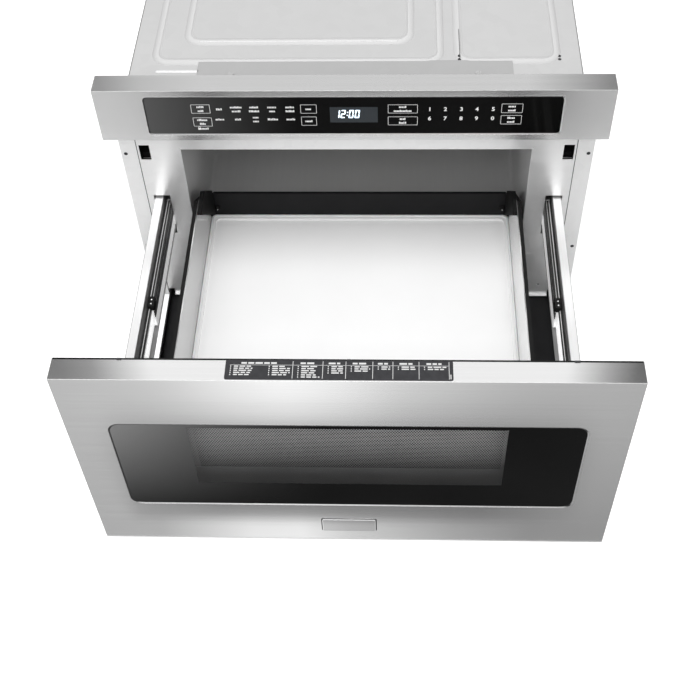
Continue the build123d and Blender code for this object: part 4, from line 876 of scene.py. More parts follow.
class MICROWAVE_OT_case(bpy.types.Operator):
    """Finish the case, its front frame and the marks on its sheets"""

    bl_idname = "microwave.case"
    bl_label = "Case"

    def execute(self, context):
        metal = settings().metal
        dress("galvanised_sheet", galvanised_sheet("galvanised_sheet", metal.case))
        dress_node("case_wrap", galvanised_sheet("case_sheet", metal.case, 2.4 * MM))
        # The frame and flanges get a lighter copy of the case's sheet: painted light.
        for name in ("front_frame", "mounting_flanges"):
            dress_node(name, galvanised_sheet(name + "_sheet", shade(metal.case, FRAME_TONE)))
        dress_node("panel_top_bracket", galvanised_sheet("bracket_sheet", shade(metal.bracket, BRACKET_TONE)))
        dress("machined_steel", turned_steel(BASE_COLOURS["machined_steel"]))
        dark = rubber_and_painted_shade(BASE_COLOURS["black_plastic"])
        self.flange_shade_discs(dark)
        self.flange_joints(dark)
        self.top_seam()
        self.emboss_slopes(metal.case)
        self.top_folds()
        self.top_ridges()
        self.seam_holes(dark)
        return {"FINISHED"}

    def flange_shade_discs(self, dark):
        """Black discs in the four screw holes of the flanges: painted shade for the dark seen through each hole."""
        sketch = Sketch(standing)
        back = FLANGE_LOW.y
        for side in (-1, 1):
            for height in SHADE_DISC_HEIGHTS:
                shade_disc = circle_outline((side * SHADE_DISC_ASIDE, height), SHADE_DISC_RADIUS)
                sketch.prism(shade_disc, back + 0.1 * MM, back + 0.6 * MM)
        sketch.piece("flange_hole_shade_discs", "chassis", dark, "black_plastic")

    def flange_joints(self, dark):
        """Dark joints beside the flanges."""
        sketch = Sketch(standing)
        back = FLANGE_LOW.y
        for side in (-1, 1):
            left, right = sorted(side * edge for edge in JOINT_SIDES)
            sketch.box((left, JOINT_FOOT), (right, JOINT_TOP), back - 0.06 * MM, back + 0.1 * MM)
        sketch.piece("flange_joints", "chassis", dark, "black_plastic")

    def top_seam(self):
        """Folded seam in the case's top sheet, to the right of the bracket."""
        sketch = Sketch(lying)
        sketch.box(*SEAM_CORNERS, CASE_TOP, CASE_TOP + 2.12 * MM)
        sketch.piece("case_top_seam", "chassis", scuffed_edge_and_painted_light("seam_edge", 0.10), "galvanised_sheet")

    def emboss_slopes(self, base_colour):
        """Drawn slopes round the raised fields of the top."""
        sketch = Sketch(lying)
        for low, high, base in EMBOSSES:
            foot, shoulder, crest = (
                inset_outline(low, high, -out, EMBOSS_RADIUS + out) for out in (8.5 * MM, 0.3 * MM, -3.0 * MM)
            )
            upper = [(foot, base - 0.02 * MM), (shoulder, base + 1.85 * MM), (crest, base + 2.03 * MM)]
            lower = [(crest, base + 1.7 * MM), (foot, base - 0.3 * MM)]
            sketch.loft(upper + lower, closed=True)
        drawn = drawn_zinc(base_colour)
        sketch.piece("case_emboss_slopes", "chassis", drawn, "galvanised_sheet", smooth=True)

    def top_folds(self):
        """Folds along both sides of the top, scuffed and coloured dark: painted shade."""
        sketch = Sketch(lying)
        for low, high in ((CASE_LOW.x, CASE_LOW.x + FOLD_WIDTH), (CASE_HIGH.x - FOLD_WIDTH, CASE_HIGH.x)):
            corners = (low, 1 * MM), (high, CASE_HIGH.y - 2 * MM)
            sketch.box(*corners, CASE_TOP - 0.3 * MM, CASE_TOP + 0.05 * MM)
        sketch.piece("case_top_folds", "chassis", scuffed_edge_and_painted_light("folded_edge_painted_shade", 0.20), "galvanised_sheet")

    def top_ridges(self):
        """A pressed ridge at the left, coloured bright, and a strip along the upper field's front edge: painted
        highlights.
        """
        bright = scuffed_edge_and_painted_light("painted_highlight_edge", 0.86)
        ridge = Sketch(lying)
        wide = rounded_outline(*RIDGE_CORNERS, 2.4 * MM)
        slim = inset_outline(*RIDGE_CORNERS, 1.5 * MM, 0.9 * MM)
        ridge.loft([(wide, CASE_TOP - 0.1 * MM), (wide, CASE_TOP + 0.2 * MM), (slim, CASE_TOP + 1.2 * MM)])
        ridge.piece("case_top_ridges", "chassis", bright, "galvanised_sheet", smooth=True)
        glint = Sketch(lying)
        glint.box(*GLINT_CORNERS, CASE_TOP + 2 * MM, CASE_TOP + 3.6 * MM)
        glint.piece("case_emboss_highlight_strip", "chassis", bright, "galvanised_sheet")

    def seam_holes(self, dark):
        """Dark discs in the small holes beside the seam: painted shade for the dark inside each hole."""
        sketch = Sketch(lying)
        for u, v, rise in SEAM_HOLES:
            hole = circle_outline((u * MM, v * MM), SEAM_HOLE_RADIUS, 16)
            sketch.prism(hole, CASE_TOP, CASE_TOP + rise * MM)
        sketch.piece("case_top_holes", "chassis", dark, "black_plastic")


# ---------------------------------------------------------------------------------------------------------------------
# Control panel
# ---------------------------------------------------------------------------------------------------------------------

# Marks of the panel: X from the middle and height above the panel's lower edge, in millimetres.
BOXES = [
    ((-189.8, 40.6), (-167.4, 53.7)),
    ((-189.5, 20.9), (-167.2, 34.2)),
    ((-61.2, 40.2), (-42.3, 53.3)),
    ((-61.1, 21.9), (-43.0, 35.2)),
    ((41.0, 40.2), (75.5, 53.0)),
    ((41.0, 22.3), (75.7, 35.1)),
    ((172.6, 40.4), (197.2, 53.9)),
    ((172.8, 23.4), (197.1, 36.7)),
]
# Words of the panel: middle X, middle height and how many letters stand in each line.
WORDS = [
    (-178.6, 47.2, (5, 4)),
    (-178.4, 27.6, (7, 4)),
    (-156.7, 46.6, (4,)),
    (-136.7, 46.6, (8, 6)),
    (-115.6, 46.6, (6, 7)),
    (-94.5, 46.6, (6, 4)),
    (-73.4, 46.6, (6, 6)),
    (-157.3, 31.4, (6,)),
    (-135.9, 31.4, (4,)),
    (-114.6, 31.4, (4, 4)),
    (-94.5, 31.4, (7,)),
    (-73.2, 31.4, (6,)),
    (-51.8, 46.7, (4,)),
    (-52.0, 28.5, (5,)),
    (58.2, 46.6, (5, 12)),
    (58.3, 28.7, (4, 5)),
    (184.9, 47.1, (5, 5)),
    (184.9, 30.0, (5, 5)),
    (-176.6, 17.4, (5,)),
]
KEYPAD_COLUMNS = [89.7, 107.8, 126.4, 144.4, 163.2]
KEYPAD_ROWS = [(45.8, "12345"), (32.0, "67890")]
LETTER_PITCH = 1.75
LINE_PITCH = 5.9
LETTER_WIDTHS = (1.15, 1.5)
# Heights of the letters' bars, as shares of a tall one: two in three are low.
LETTER_HEIGHTS = (0.75, 0.75, 1.0)
WORD_SEED = 7
PADLOCK_LEFT, PADLOCK_BOTTOM = -185.0, 15.6
CLOCK_BOTTOM = 33.2
CLOCK_DIGITS = [("1", -21.6), ("2", -14.9), ("0", -5.4), ("0", 1.6)]
CLOCK_COLON = -7.9
CLOCK_LEAN = 0.12
COLON_HEIGHTS = (0.28, 0.64)
SEGMENTS_OF_DIGIT = {"0": "abcdef", "1": "bc", "2": "abged"}
TOUCH_RADIUS = 5 * MM
# The panel's steel is a lit copy of the door's, coloured this much lighter: painted light.
PANEL_TONE = 1.14


class MICROWAVE_OT_control_panel(bpy.types.Operator):
    """Finish the control panel and print its marks and clock"""

    bl_idname = "microwave.control_panel"
    bl_label = "Control Panel"

    def execute(self, context):
        metal = settings().metal
        panel = settings().panel
        panel_front = shade(metal.front, PANEL_TONE)
        shell = brushed_steel("panel_steel", panel_front, metal.front_roughness, 0.018, 0.7 * MM)
        dress_node("control_panel_shell", shell)
        dress("display_window", display_window(BASE_COLOURS["display_window"]))
        dress("circuit_board", circuit_board(BASE_COLOURS["circuit_board"]))
        place = (TOUCH_LOW, TOUCH_HIGH, TOUCH_RADIUS, PANEL_LOW.y, "chassis")
        glass_pane("touch_glass_pane", *place, touch_glass(), "touch_glass")
        glass_lip("touch_glass_lip", *place)
        self.corners(brushed_steel("panel_corner_steel", panel_front, metal.front_roughness, 0.010, 0.0))
        ink = printed_ink("panel_print", panel.print_colour)
        self.print_boxes(panel, ink)
        self.print_words(panel, ink)
        self.print_padlock(ink)
        self.print_digits(panel, ink)
        self.clock_window()
        self.light_clock(panel)
        return {"FINISHED"}

    def corners(self, steel):
        """Steel that rounds the corners of the opening round the glass."""
        low, high = front_corners(TOUCH_LOW, TOUCH_HIGH)
        wide = inset_outline(low, high, -1.3 * MM, 1.5 * MM)
        slim = inset_outline(low, high, -0.5 * MM, 5.4 * MM)
        sketch = Sketch(standing)
        sketch.ring(wide, slim, PANEL_LOW.y - 0.05 * MM, PANEL_LOW.y + 0.3 * MM)
        sketch.piece("touch_glass_surround", "chassis", steel, "stainless_front")

    def layer(self):
        """Front and back of the printed layer on the glass."""
        face = pane_face(PANEL_LOW.y)
        return face - 0.03 * MM, face + 0.02 * MM

    def print_boxes(self, panel, ink):
        """Thin rounded frames."""
        front, back = self.layer()
        sketch = Sketch(standing)
        for low, high in BOXES:
            corners = [(u * MM, PANEL_LOW.z + v * MM) for u, v in (low, high)]
            wide = rounded_outline(*corners, 0.8 * MM, 3)
            slim = inset_outline(*corners, panel.stroke, 0.4 * MM, 3)
            sketch.ring(wide, slim, front, back)
        sketch.piece("panel_boxes", "chassis", ink, "black_glass")

    def print_words(self, panel, ink):
        """Words are left as rows of short bars."""
        front, back = self.layer()
        sketch = Sketch(standing)
        chance = random.Random(WORD_SEED)
        for middle, height, lines in WORDS:
            for row, letters in enumerate(lines):
                v = PANEL_LOW.z + (height + ((len(lines) - 1) / 2 - row) * LINE_PITCH) * MM
                u = (middle - letters * LETTER_PITCH / 2) * MM
                for _ in range(letters):
                    width = chance.uniform(*LETTER_WIDTHS) * MM
                    tall = panel.word_height * chance.choice(LETTER_HEIGHTS)
                    foot = v - panel.word_height / 2
                    sketch.box((u, foot), (u + width, foot + tall), front, back)
                    u += LETTER_PITCH * MM
        sketch.piece("panel_word_bars", "chassis", ink, "black_glass")

    def print_padlock(self, ink):
        """A small padlock: its body and its shackle."""
        front, back = self.layer()
        sketch = Sketch(standing)
        u, v = PADLOCK_LEFT * MM, PANEL_LOW.z + PADLOCK_BOTTOM * MM
        sketch.prism(rounded_outline((u, v), (u + 3.6 * MM, v + 2.6 * MM), 0.4 * MM, 3), front, back)
        wide = rounded_outline((u + 0.5 * MM, v + 2.2 * MM), (u + 3.1 * MM, v + 4.9 * MM), 1.1 * MM, 4)
        slim = rounded_outline((u + 1.0 * MM, v + 2.6 * MM), (u + 2.6 * MM, v + 4.4 * MM), 0.7 * MM, 4)
        sketch.ring(wide, slim, front, back)
        sketch.piece("panel_padlock_mark", "chassis", ink, "black_glass")

    def print_digits(self, panel, ink):
        """The ten digits of the keypad."""
        front, back = self.layer()
        turn = Matrix.Rotation(math.radians(90), 4, "X")
        whole = bpy.data.meshes.new("panel_digits")
        points, faces = [], []
        for height, digits in KEYPAD_ROWS:
            for middle, digit in zip(KEYPAD_COLUMNS, digits):
                mesh = text_mesh(digit, panel.digit_height, back - front)
                place = Vector((middle * MM, (front + back) / 2, PANEL_LOW.z + height * MM))
                start = len(points)
                points.extend(tuple(turn @ vertex.co + place) for vertex in mesh.vertices)
                faces.extend(tuple(start + k for k in polygon.vertices) for polygon in mesh.polygons)
        whole.from_pydata(points, [], faces)
        add_piece("panel_digits", whole, "chassis", ink)

    def clock_window(self):
        """The smoked window in front of the clock."""
        corners = front_corners(DISPLAY_LOW, DISPLAY_HIGH)
        sketch = Sketch(standing)
        sketch.prism(rounded_outline(*corners, 0.6 * MM, 3), *self.layer())
        smoked = display_window(BASE_COLOURS["display_window"])
        sketch.piece("clock_window", "chassis", smoked, "display_window")

    def light_clock(self, panel):
        """Seven-segment digits of the clock, leaning to the right."""
        glow = printed_ink("clock_light", panel.clock_colour, panel.clock_strength)
        sketch = Sketch(standing)
        front = self.layer()[0] - 0.05 * MM
        back = front + 0.05 * MM
        tall = panel.clock_height
        wide = tall * 0.46
        thick = tall * 0.13
        foot = PANEL_LOW.z + CLOCK_BOTTOM * MM
        for digit, start in CLOCK_DIGITS:
            for segment in SEGMENTS_OF_DIGIT[digit]:
                bar = segment_outline(segment, wide, tall, thick)
                sketch.prism([(start * MM + u + CLOCK_LEAN * v, foot + v) for u, v in bar], front, back)
        for share in COLON_HEIGHTS:
            u, v = CLOCK_COLON * MM + CLOCK_LEAN * share * tall, foot + share * tall
            sketch.prism(rounded_outline((u, v), (u + thick, v + thick), thick * 0.3, 2), front, back)
        sketch.piece("clock_digits", "chassis", glow, "display_window")


def segment_outline(segment, wide, tall, thick):
    """Outline of one bar of a seven-segment digit whose lower left corner is the origin."""
    gap = thick * 0.12
    half = tall / 2
    if segment in "adg":
        v = {"a": tall - thick, "d": 0.0, "g": half - thick / 2}[segment]
        return [
            (gap + thick / 2, v),
            (wide - gap - thick / 2, v),
            (wide - gap, v + thick / 2),
            (wide - gap - thick / 2, v + thick),
            (gap + thick / 2, v + thick),
            (gap, v + thick / 2),
        ]
    u = 0.0 if segment in "ef" else wide - thick
    v = half if segment in "bf" else 0.0
    return [
        (u, v + gap + thick / 2),
        (u + thick / 2, v + gap),
        (u + thick, v + gap + thick / 2),
        (u + thick, v + half - gap - thick / 2),
        (u + thick / 2, v + half - gap),
        (u, v + half - gap - thick / 2),
    ]


# Height of a digit as a share of the font's size, and the thickening of its strokes as a share of its height.
DIGIT_SHARE = 0.7
DIGIT_WEIGHT = 0.034


def text_mesh(text, height, depth):
    """A mesh of text, centred on the origin, in the XY plane."""
    curve = bpy.data.curves.new("digit", "FONT")
    curve.body = text
    curve.align_x = "CENTER"
    curve.align_y = "CENTER"
    curve.size = height / DIGIT_SHARE
    curve.extrude = depth / 2
    curve.offset = height * DIGIT_WEIGHT
    curve.resolution_u = 3
    holder = bpy.data.objects.new("digit", curve)
    bpy.context.scene.collection.objects.link(holder)
    bpy.context.view_layer.update()
    mesh = bpy.data.meshes.new_from_object(holder.evaluated_get(bpy.context.evaluated_depsgraph_get()))
    bpy.data.objects.remove(holder)
    bpy.data.curves.remove(curve)
    return mesh


# ---------------------------------------------------------------------------------------------------------------------
# Door
# ---------------------------------------------------------------------------------------------------------------------

PANE_RADIUS = 14 * MM
# Bumpers on the door's top rear edge: middle and width.
BUMPERS = ((-233 * MM, 5 * MM), (4 * MM, 4 * MM), (236 * MM, 6 * MM))


def lip_steel(name, low, high):
    """Steel edge round a glass, with a painted highlight along its lower and right sides and painted shade along the
    others.
    """
    finish = Finish(name, {"Metallic": 0.9})
    grain = finish.noise(1.0, (30, 900, 900))
    lower = finish.spread(finish.axis("Z"), 1.0, 0.0, low.z + 1.0 * MM, low.z + 3.0 * MM)
    right = finish.spread(finish.axis("X"), 0.0, 1.0, high.x - 3.0 * MM, high.x - 1.0 * MM)
    lit = finish.maths("MAXIMUM", lower, right)
    shaded = finish.greys(grain, 0.05, 0.07)
    finish.set("Base Color", finish.mix(lit, shaded, settings().metal.front))
    return finish.set("Roughness", finish.spread(grain, 0.32, 0.34))


def glass_lip(name, low, high, radius, front, body):
    """The bevelled edge of the steel round a glass, which sits a little way back in it."""
    door = settings().door
    finish = lip_steel(name + "_steel", low, high)
    corners = front_corners(low, high)
    spare, width = 0.7 * MM, door.lip_width
    outer = inset_outline(*corners, -spare, radius + spare)
    inner = inset_outline(*corners, width, radius - width * 0.4)
    near, far = front - 0.03 * MM, front + door.lip_depth
    sketch = Sketch(standing)
    sketch.loft([(outer, near), (inner, far), (inner, far + 0.4 * MM), (outer, near + 0.5 * MM)], closed=True)
    sketch.piece(name, body, finish, "stainless_front")


def pane_face(front):
    """Where a pane's front lies behind the steel's front plane."""
    return front + settings().door.lip_depth - 0.1 * MM


def glass_pane(name, low, high, radius, front, body, finish, node):
    """A pane that sits back from the steel's face, with a ground edge, in place of the CAD glass."""
    corners = front_corners(low, high)
    inset, edge = 0.3 * MM, 0.5 * MM
    wide = inset_outline(*corners, inset, radius)
    slim = inset_outline(*corners, inset + edge, radius)
    face = pane_face(front)
    sketch = Sketch(standing)
    sketch.loft([(slim, face), (wide, face + edge), (wide, high.y)])
    pane = sketch.piece(name, body, finish, "black_glass")
    pane.visible_shadow = False
    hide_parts(node)


class MICROWAVE_OT_door(bpy.types.Operator):
    """Finish the drawer's door, its glass, its perforated screen and its badge"""

    bl_idname = "microwave.door"
    bl_label = "Door"

    def execute(self, context):
        metal = settings().metal
        door = settings().door
        steel = brushed_steel("door_steel", metal.front, metal.front_roughness, 0.018)
        dress_node("door_shell", steel)
        dress("black_paint", black_paint(BASE_COLOURS["black_paint"]))
        dress_node("door_inner_frame", frame_enamel())
        dress_node("badge_plate", brushed_steel("badge_steel", shade(metal.front, 0.72), 0.16, 0.01))
        place = (PANE_LOW, PANE_HIGH, PANE_RADIUS, DOOR_LOW.y, "drawer")
        glass_pane("door_glass_pane", *place, window_glass(door), "door_glass")
        glass_lip("door_glass_lip", *place)
        self.screen(door)
        self.bumpers()
        self.badge_rim(metal)
        self.rear_seam()
        return {"FINISHED"}

    def rear_seam(self):
        """The dark joint between the door's skin and its inner frame, along the top rear edge."""
        seam = Sketch(lying)
        half, rear, top = DOOR_HIGH.x - 1 * MM, DOOR_HIGH.y, DOOR_HIGH.z
        seam.box((-half, rear - 2.0 * MM), (half, rear + 0.1 * MM), top - 1.5 * MM, top + 0.15 * MM)
        seam.piece("door_top_seam", "drawer", black_film("seam_gasket", 0.010), "black_plastic")

    def screen(self, door):
        """Perforated sheet behind the window: a honeycomb of holes over a plain lower band."""
        enamel = screen_enamel()
        pitch = door.hole_pitch
        cell = pitch / math.sqrt(3)
        hole = door.hole_diameter / math.sqrt(3)
        half = SCREEN_HIGH.x - 2 * MM
        depth = (SCREEN_LOW.y + SCREEN_HIGH.y) / 2
        corners = [(math.sin(math.radians(60 * k)), math.cos(math.radians(60 * k))) for k in range(6)]
        sketch = Sketch(standing)
        row_pitch = cell * 1.5
        rows = int((SCREEN_HIGH.z - 3 * MM - door.perforation_bottom) / row_pitch)
        columns = int(2 * half / pitch)
        for row in range(rows):
            v = door.perforation_bottom + cell + row * row_pitch
            for column in range(columns):
                u = -half + (column + 0.5 * (row % 2)) * pitch
                outer = sketch.loop([(u + cell * a, v + cell * b) for a, b in corners], depth)
                inner = sketch.loop([(u + hole * a, v + hole * b) for a, b in corners], depth)
                sketch.bridge(outer, inner)
        piece = sketch.piece("door_perforated_screen", "drawer", enamel, "black_paint")
        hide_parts("door_mesh_screen")
        self.screen_border(depth, door.perforation_bottom + cell)
        self.screen_shade_film()

    def screen_border(self, depth, top):
        """The plain lower band of the screen's sheet, in the frame's dark enamel: painted shade at the screen's foot.
        """
        sketch = Sketch(standing)
        corners = (SCREEN_LOW.x, SCREEN_LOW.z), (SCREEN_HIGH.x, top)
        sketch.box(*corners, depth - 0.3 * MM, depth + 0.3 * MM)
        sketch.piece("door_screen_border", "drawer", frame_enamel(), "black_paint")

    def screen_shade_film(self):
        """Dark film behind the screen: painted shade for the dark seen through its holes."""
        sketch = Sketch(standing)
        behind = SCREEN_HIGH.y + 0.4 * MM
        sketch.box(*front_corners(SCREEN_LOW, SCREEN_HIGH), behind, behind + 0.4 * MM)
        sketch.piece("door_screen_film", "drawer", black_film("screen_shade_film", 0.034), "black_paint")

    def bumpers(self):
        """Small rubber stops along the top rear edge of the door."""
        dark = rubber_and_painted_shade(BASE_COLOURS["black_plastic"])
        sketch = Sketch(lying)
        top, rear = DOOR_HIGH.z, DOOR_HIGH.y
        for middle, wide in BUMPERS:
            corners = (middle - wide / 2, rear - 2.2 * MM), (middle + wide / 2, rear - 0.2 * MM)
            foot = rounded_outline(*corners, 0.6 * MM, 3)
            crown = inset_outline(*corners, 0.5 * MM, 0.3 * MM, 3)
            sketch.loft([(foot, top), (foot, top + 0.9 * MM), (crown, top + 1.3 * MM)])
        sketch.piece("door_bumpers", "drawer", dark, "black_plastic")

    def badge_rim(self, metal):
        """A raised polished rim round the blank badge, with a dark joint where it meets the door; the joint is partly
        painted shadow.
        """
        polished = brushed_steel("badge_rim_steel", metal.front, 0.10, 0.01)
        corners, face = front_corners(BADGE_LOW, BADGE_HIGH), BADGE_LOW.y
        stations = (
            (-0.3 * MM, 1.8 * MM, DOOR_LOW.y - 0.1 * MM),
            (0.3 * MM, 1.6 * MM, face - 0.05 * MM),
            (0.9 * MM, 1.4 * MM, face - 0.05 * MM),
            (1.9 * MM, 1.0 * MM, face + 0.6 * MM),
        )
        rim = Sketch(standing)
        outlines = [(inset_outline(*corners, inset, radius), depth) for inset, radius, depth in stations]
        rim.loft(outlines, closed=True)
        rim.piece("badge_rim", "drawer", polished, "stainless_front")
        # The dark joint ring is widened to serve partly as a painted shadow round the badge.
        joint = Sketch(standing)
        wide = inset_outline(*corners, -1.2 * MM, 2.6 * MM)
        slim = inset_outline(*corners, -0.2 * MM, 1.8 * MM)
        joint.ring(wide, slim, DOOR_LOW.y - 0.12 * MM, DOOR_LOW.y + 0.05 * MM)
        joint.piece("badge_joint", "drawer", rubber_and_painted_shade(BASE_COLOURS["black_plastic"]), "black_plastic")


def frame_enamel():
    """Dark grey enamel of the frame behind the door's glass."""
    finish = Finish("frame_enamel", {"Specular IOR Level": 0.3})
    cloud = finish.noise(20.0)
    finish.set("Base Color", finish.greys(cloud, 0.11, 0.13))
    finish.set("Roughness", finish.spread(cloud, 0.4, 0.55))
    return finish.bump(finish.noise(700.0, detail=2.0), 30 * MICRON, 0.3)


def black_film(name, tone):
    """Matt black film or gasket with a slow mottling."""
    finish = Finish(name, {"Specular IOR Level": 0.1})
    cloud = finish.noise(30.0)
    finish.set("Base Color", finish.greys(cloud, tone * 0.9, tone * 1.2))
    return finish.set("Roughness", finish.spread(cloud, 0.5, 0.6))


def screen_enamel():
    """Grey enamel of the perforated screen, with painted shade that darkens its base colour towards its foot."""
    finish = Finish("screen_enamel", {"Specular IOR Level": 0.3})
    cloud = finish.noise(30.0)
    tone = finish.greys(cloud, 0.42, 0.46)
    foot = settings().door.perforation_bottom
    fade = finish.spread(finish.axis("Z"), 1.0, 0.0, foot, foot + 62 * MM)
    finish.set("Base Color", finish.mix(fade, tone, grey(0.10)))
    finish.set("Roughness", finish.spread(cloud, 0.45, 0.6))
    return finish.bump(finish.noise(900.0, detail=2.0), 30 * MICRON, 0.3)


# ---------------------------------------------------------------------------------------------------------------------
# Menu label
# ---------------------------------------------------------------------------------------------------------------------

# Columns of the label: where each starts, as a share of its width, and how many lines it holds. The last
# entry is where they end.
LABEL_COLUMNS = [
    (0.0, 5),
    (0.17, 5),
    (0.298, 6),
    (0.430, 4),
    (0.531, 3),
    (0.649, 2),
    (0.737, 2),
    (0.851, 2),
    (0.982, 0),
]
FIRST_RULED_COLUMN = 2
COLUMN_WITHOUT_HEADING = 1
# Backs and depths of the heading and of the lines, as shares of the label's depth from the back.
HEADING_BACK, HEADING_DEEP = 0.12, 0.085
LINE_BACK, LINE_STEP, LINE_DEEP, DOT_DEEP = 0.30, 0.107, 0.058, 0.06
# Widths and gaps along a line, as shares of the label's width: a line starts with a dot, then come its words.
LINE_INDENT, DOT_WIDE, WORDS_INDENT, WORD_GAP = 0.022, 0.004, 0.016, 0.006
WORD_WIDTHS = (0.016, 0.034)
LINE_WIDTHS = (0.055, 0.09)
RULE_HALF_WIDTH = 0.0012
LABEL_INK = (0.56, 0.56, 0.56)
LABEL_SEED = 11


class MICROWAVE_OT_menu_label(bpy.types.Operator):
    """Rule the label on the door's top edge and fill its columns with plain bars"""

    bl_idname = "microwave.menu_label"
    bl_label = "Menu Label"

    def execute(self, context):
        dress("gloss_black", gloss_film(BASE_COLOURS["gloss_black"]))
        ink = printed_ink("label_print", LABEL_INK)
        chance = random.Random(LABEL_SEED)
        low, high = LABEL_LOW, LABEL_HIGH
        wide, deep = high.x - low.x, high.y - low.y
        bottom, top = high.z - 0.02 * MM, high.z + 0.03 * MM
        sketch = Sketch(lying)

        def bar(left, right, back, front):
            """A bar between shares of the label's width and of its depth from the back."""
            start = (low.x + left * wide, high.y - front * deep)
            end = (low.x + right * wide, high.y - back * deep)
            sketch.box(start, end, bottom, top)

        bar(0.02, 0.982, 0.255, 0.27)
        for left, _ in LABEL_COLUMNS[FIRST_RULED_COLUMN:]:
            bar(left - RULE_HALF_WIDTH, left + RULE_HALF_WIDTH, 0.06, 0.94)
        ends = [start for start, _ in LABEL_COLUMNS[1:]]
        for index, ((left, lines), right) in enumerate(zip(LABEL_COLUMNS, ends)):
            room = right - left
            if index != COLUMN_WITHOUT_HEADING:
                # The first heading stands over the first two columns.
                span = room * 0.5 if index else 0.16
                middle = (left + right) / 2 if index else 0.15
                self.word_row(bar, chance, middle - span / 2, middle + span / 2, HEADING_BACK, HEADING_DEEP)
            for line in range(lines):
                back = LINE_BACK + LINE_STEP * line
                dot = left + LINE_INDENT
                bar(dot, dot + DOT_WIDE, back, back + DOT_DEEP)
                reach = min(room - 0.05, chance.uniform(*LINE_WIDTHS))
                first = dot + WORDS_INDENT
                self.word_row(bar, chance, first, first + reach, back, LINE_DEEP)
        bar(0.987, 0.991, 0.70, 0.93)
        sketch.piece("menu_label_marks", "drawer", ink, "gloss_black")
        return {"FINISHED"}

    def word_row(self, bar, chance, left, right, back, tall):
        """Short bars with word gaps, from left to right."""
        place = left
        while place < right - 0.004:
            word = min(chance.uniform(*WORD_WIDTHS), right - place)
            bar(place, place + word, back, back + tall)
            place += word + WORD_GAP


# ---------------------------------------------------------------------------------------------------------------------
# Tray, cavity, slides and workings
# ---------------------------------------------------------------------------------------------------------------------

# Side view of a gusset in front of the rear bar: the heights of its rear edge, then the (Y, Z) points of its
# slope, and the middle towards which its inner face narrows.
GUSSET_REAR = (108.5 * MM, 155 * MM)
GUSSET_SLOPE = [(44 * MM, 172 * MM), (14 * MM, 200 * MM), (-2 * MM, 202 * MM), (-26 * MM, 196 * MM)]
GUSSET_MIDDLE = (20 * MM, 165 * MM)
GUSSET_NARROWING = 0.97
# Distances from the oven's middle of a gusset's outer face, of the start of its bevel and of its inner face.
GUSSET_STATIONS = (205.9 * MM, 201.3 * MM, 200.5 * MM)
CAP_ASIDE, CAP_HEIGHT = 197 * MM, 122 * MM
# Rings of a screw cap and of its head: radius, and place before the rear bar, in millimetres.
CAP_RINGS = ((1.8, -2.9), (3.4, -2.5), (4.2, -1.2), (4.2, 0.0))
HEAD_RINGS = ((0.5, -3.8), (1.1, -3.5), (1.3, -3.0))
# A stop on a middle rail: its two sides, its length, and its rivets' places and rings, in millimetres.
STOP_SIDES = (250.9, 243.2)
STOP_LONG = 16
RIVET_ASIDE = 247.0
RIVET_PLACES = (4.0, 10.5)
RIVET_RINGS = ((1.3, 1.2), (1.2, 1.5), (0.6, 1.7))


class MICROWAVE_OT_tray(bpy.types.Operator):
    """Finish the tray, its white floor, its glides and its black trims"""

    bl_idname = "microwave.tray"
    bl_label = "Tray"

    def execute(self, context):
        dress("tray_steel", polished_tray(settings().metal.tray))
        dress("white_ceramic", white_ceramic(BASE_COLOURS["white_ceramic"]))
        dress("pale_plastic", moulded_plastic("pale_plastic", BASE_COLOURS["pale_plastic"], 0.45))
        dress("black_plastic", black_plastic(BASE_COLOURS["black_plastic"]))
        dress_node("drawer_screws", black_screws())
        dress_node("tray_trims", black_film("trim_plastic", 0.010))
        self.floor_seal()
        bar_face = BAR_LOW.y - 0.1 * MM
        self.gussets(bar_face)
        self.screw_caps(bar_face)
        return {"FINISHED"}

    def gussets(self, rear):
        """Black gussets in the rear corners of the tray."""
        sketch = Sketch(sideways)
        profile = [(rear, height) for height in GUSSET_REAR] + GUSSET_SLOPE
        y, z = GUSSET_MIDDLE
        slim = [(y + (u - y) * GUSSET_NARROWING, z + (v - z) * GUSSET_NARROWING) for u, v in profile]
        for side in (-1, 1):
            outlines = zip((profile, profile, slim), GUSSET_STATIONS)
            sketch.loft([(outline, side * x) for outline, x in outlines])
        sketch.piece("tray_corner_gussets", "drawer", black_film("gusset_plastic", 0.008), "black_plastic")

    def screw_caps(self, rear):
        """Caps over the rear bar's screws, with a small bright head in each."""
        caps = Sketch(standing)
        heads = Sketch(standing)
        for side in (-1, 1):
            centre = (side * CAP_ASIDE, CAP_HEIGHT)
            caps.turned(centre, CAP_RINGS, rear)
            heads.turned(centre, HEAD_RINGS, rear, 16)
        caps.piece("tray_screw_caps", "drawer", black_film("cap_plastic", 0.010), "black_plastic")
        heads.piece("tray_cap_heads", "drawer", ground_steel(BASE_COLOURS["bearing_steel"]), "bearing_steel")

    def floor_seal(self):
        """White sealant that fills the joint between the floor plate and the tray's walls."""
        corners = (FLOOR_LOW.x, FLOOR_LOW.y), (FLOOR_HIGH.x, FLOOR_HIGH.y)
        section = ((2.6, -0.1), (1.5, 0.5), (-0.25, 1.5), (-0.25, -0.8))
        stations = [(inset_outline(*corners, u * MM, 6 * MM), FLOOR_HIGH.z + v * MM) for u, v in section]
        sketch = Sketch(lying)
        sketch.loft(stations, closed=True)
        sealant = moulded_plastic("sealant", (0.90, 0.90, 0.90), 0.4)
        sketch.piece("tray_floor_seal", "drawer", sealant, "white_ceramic", smooth=True)


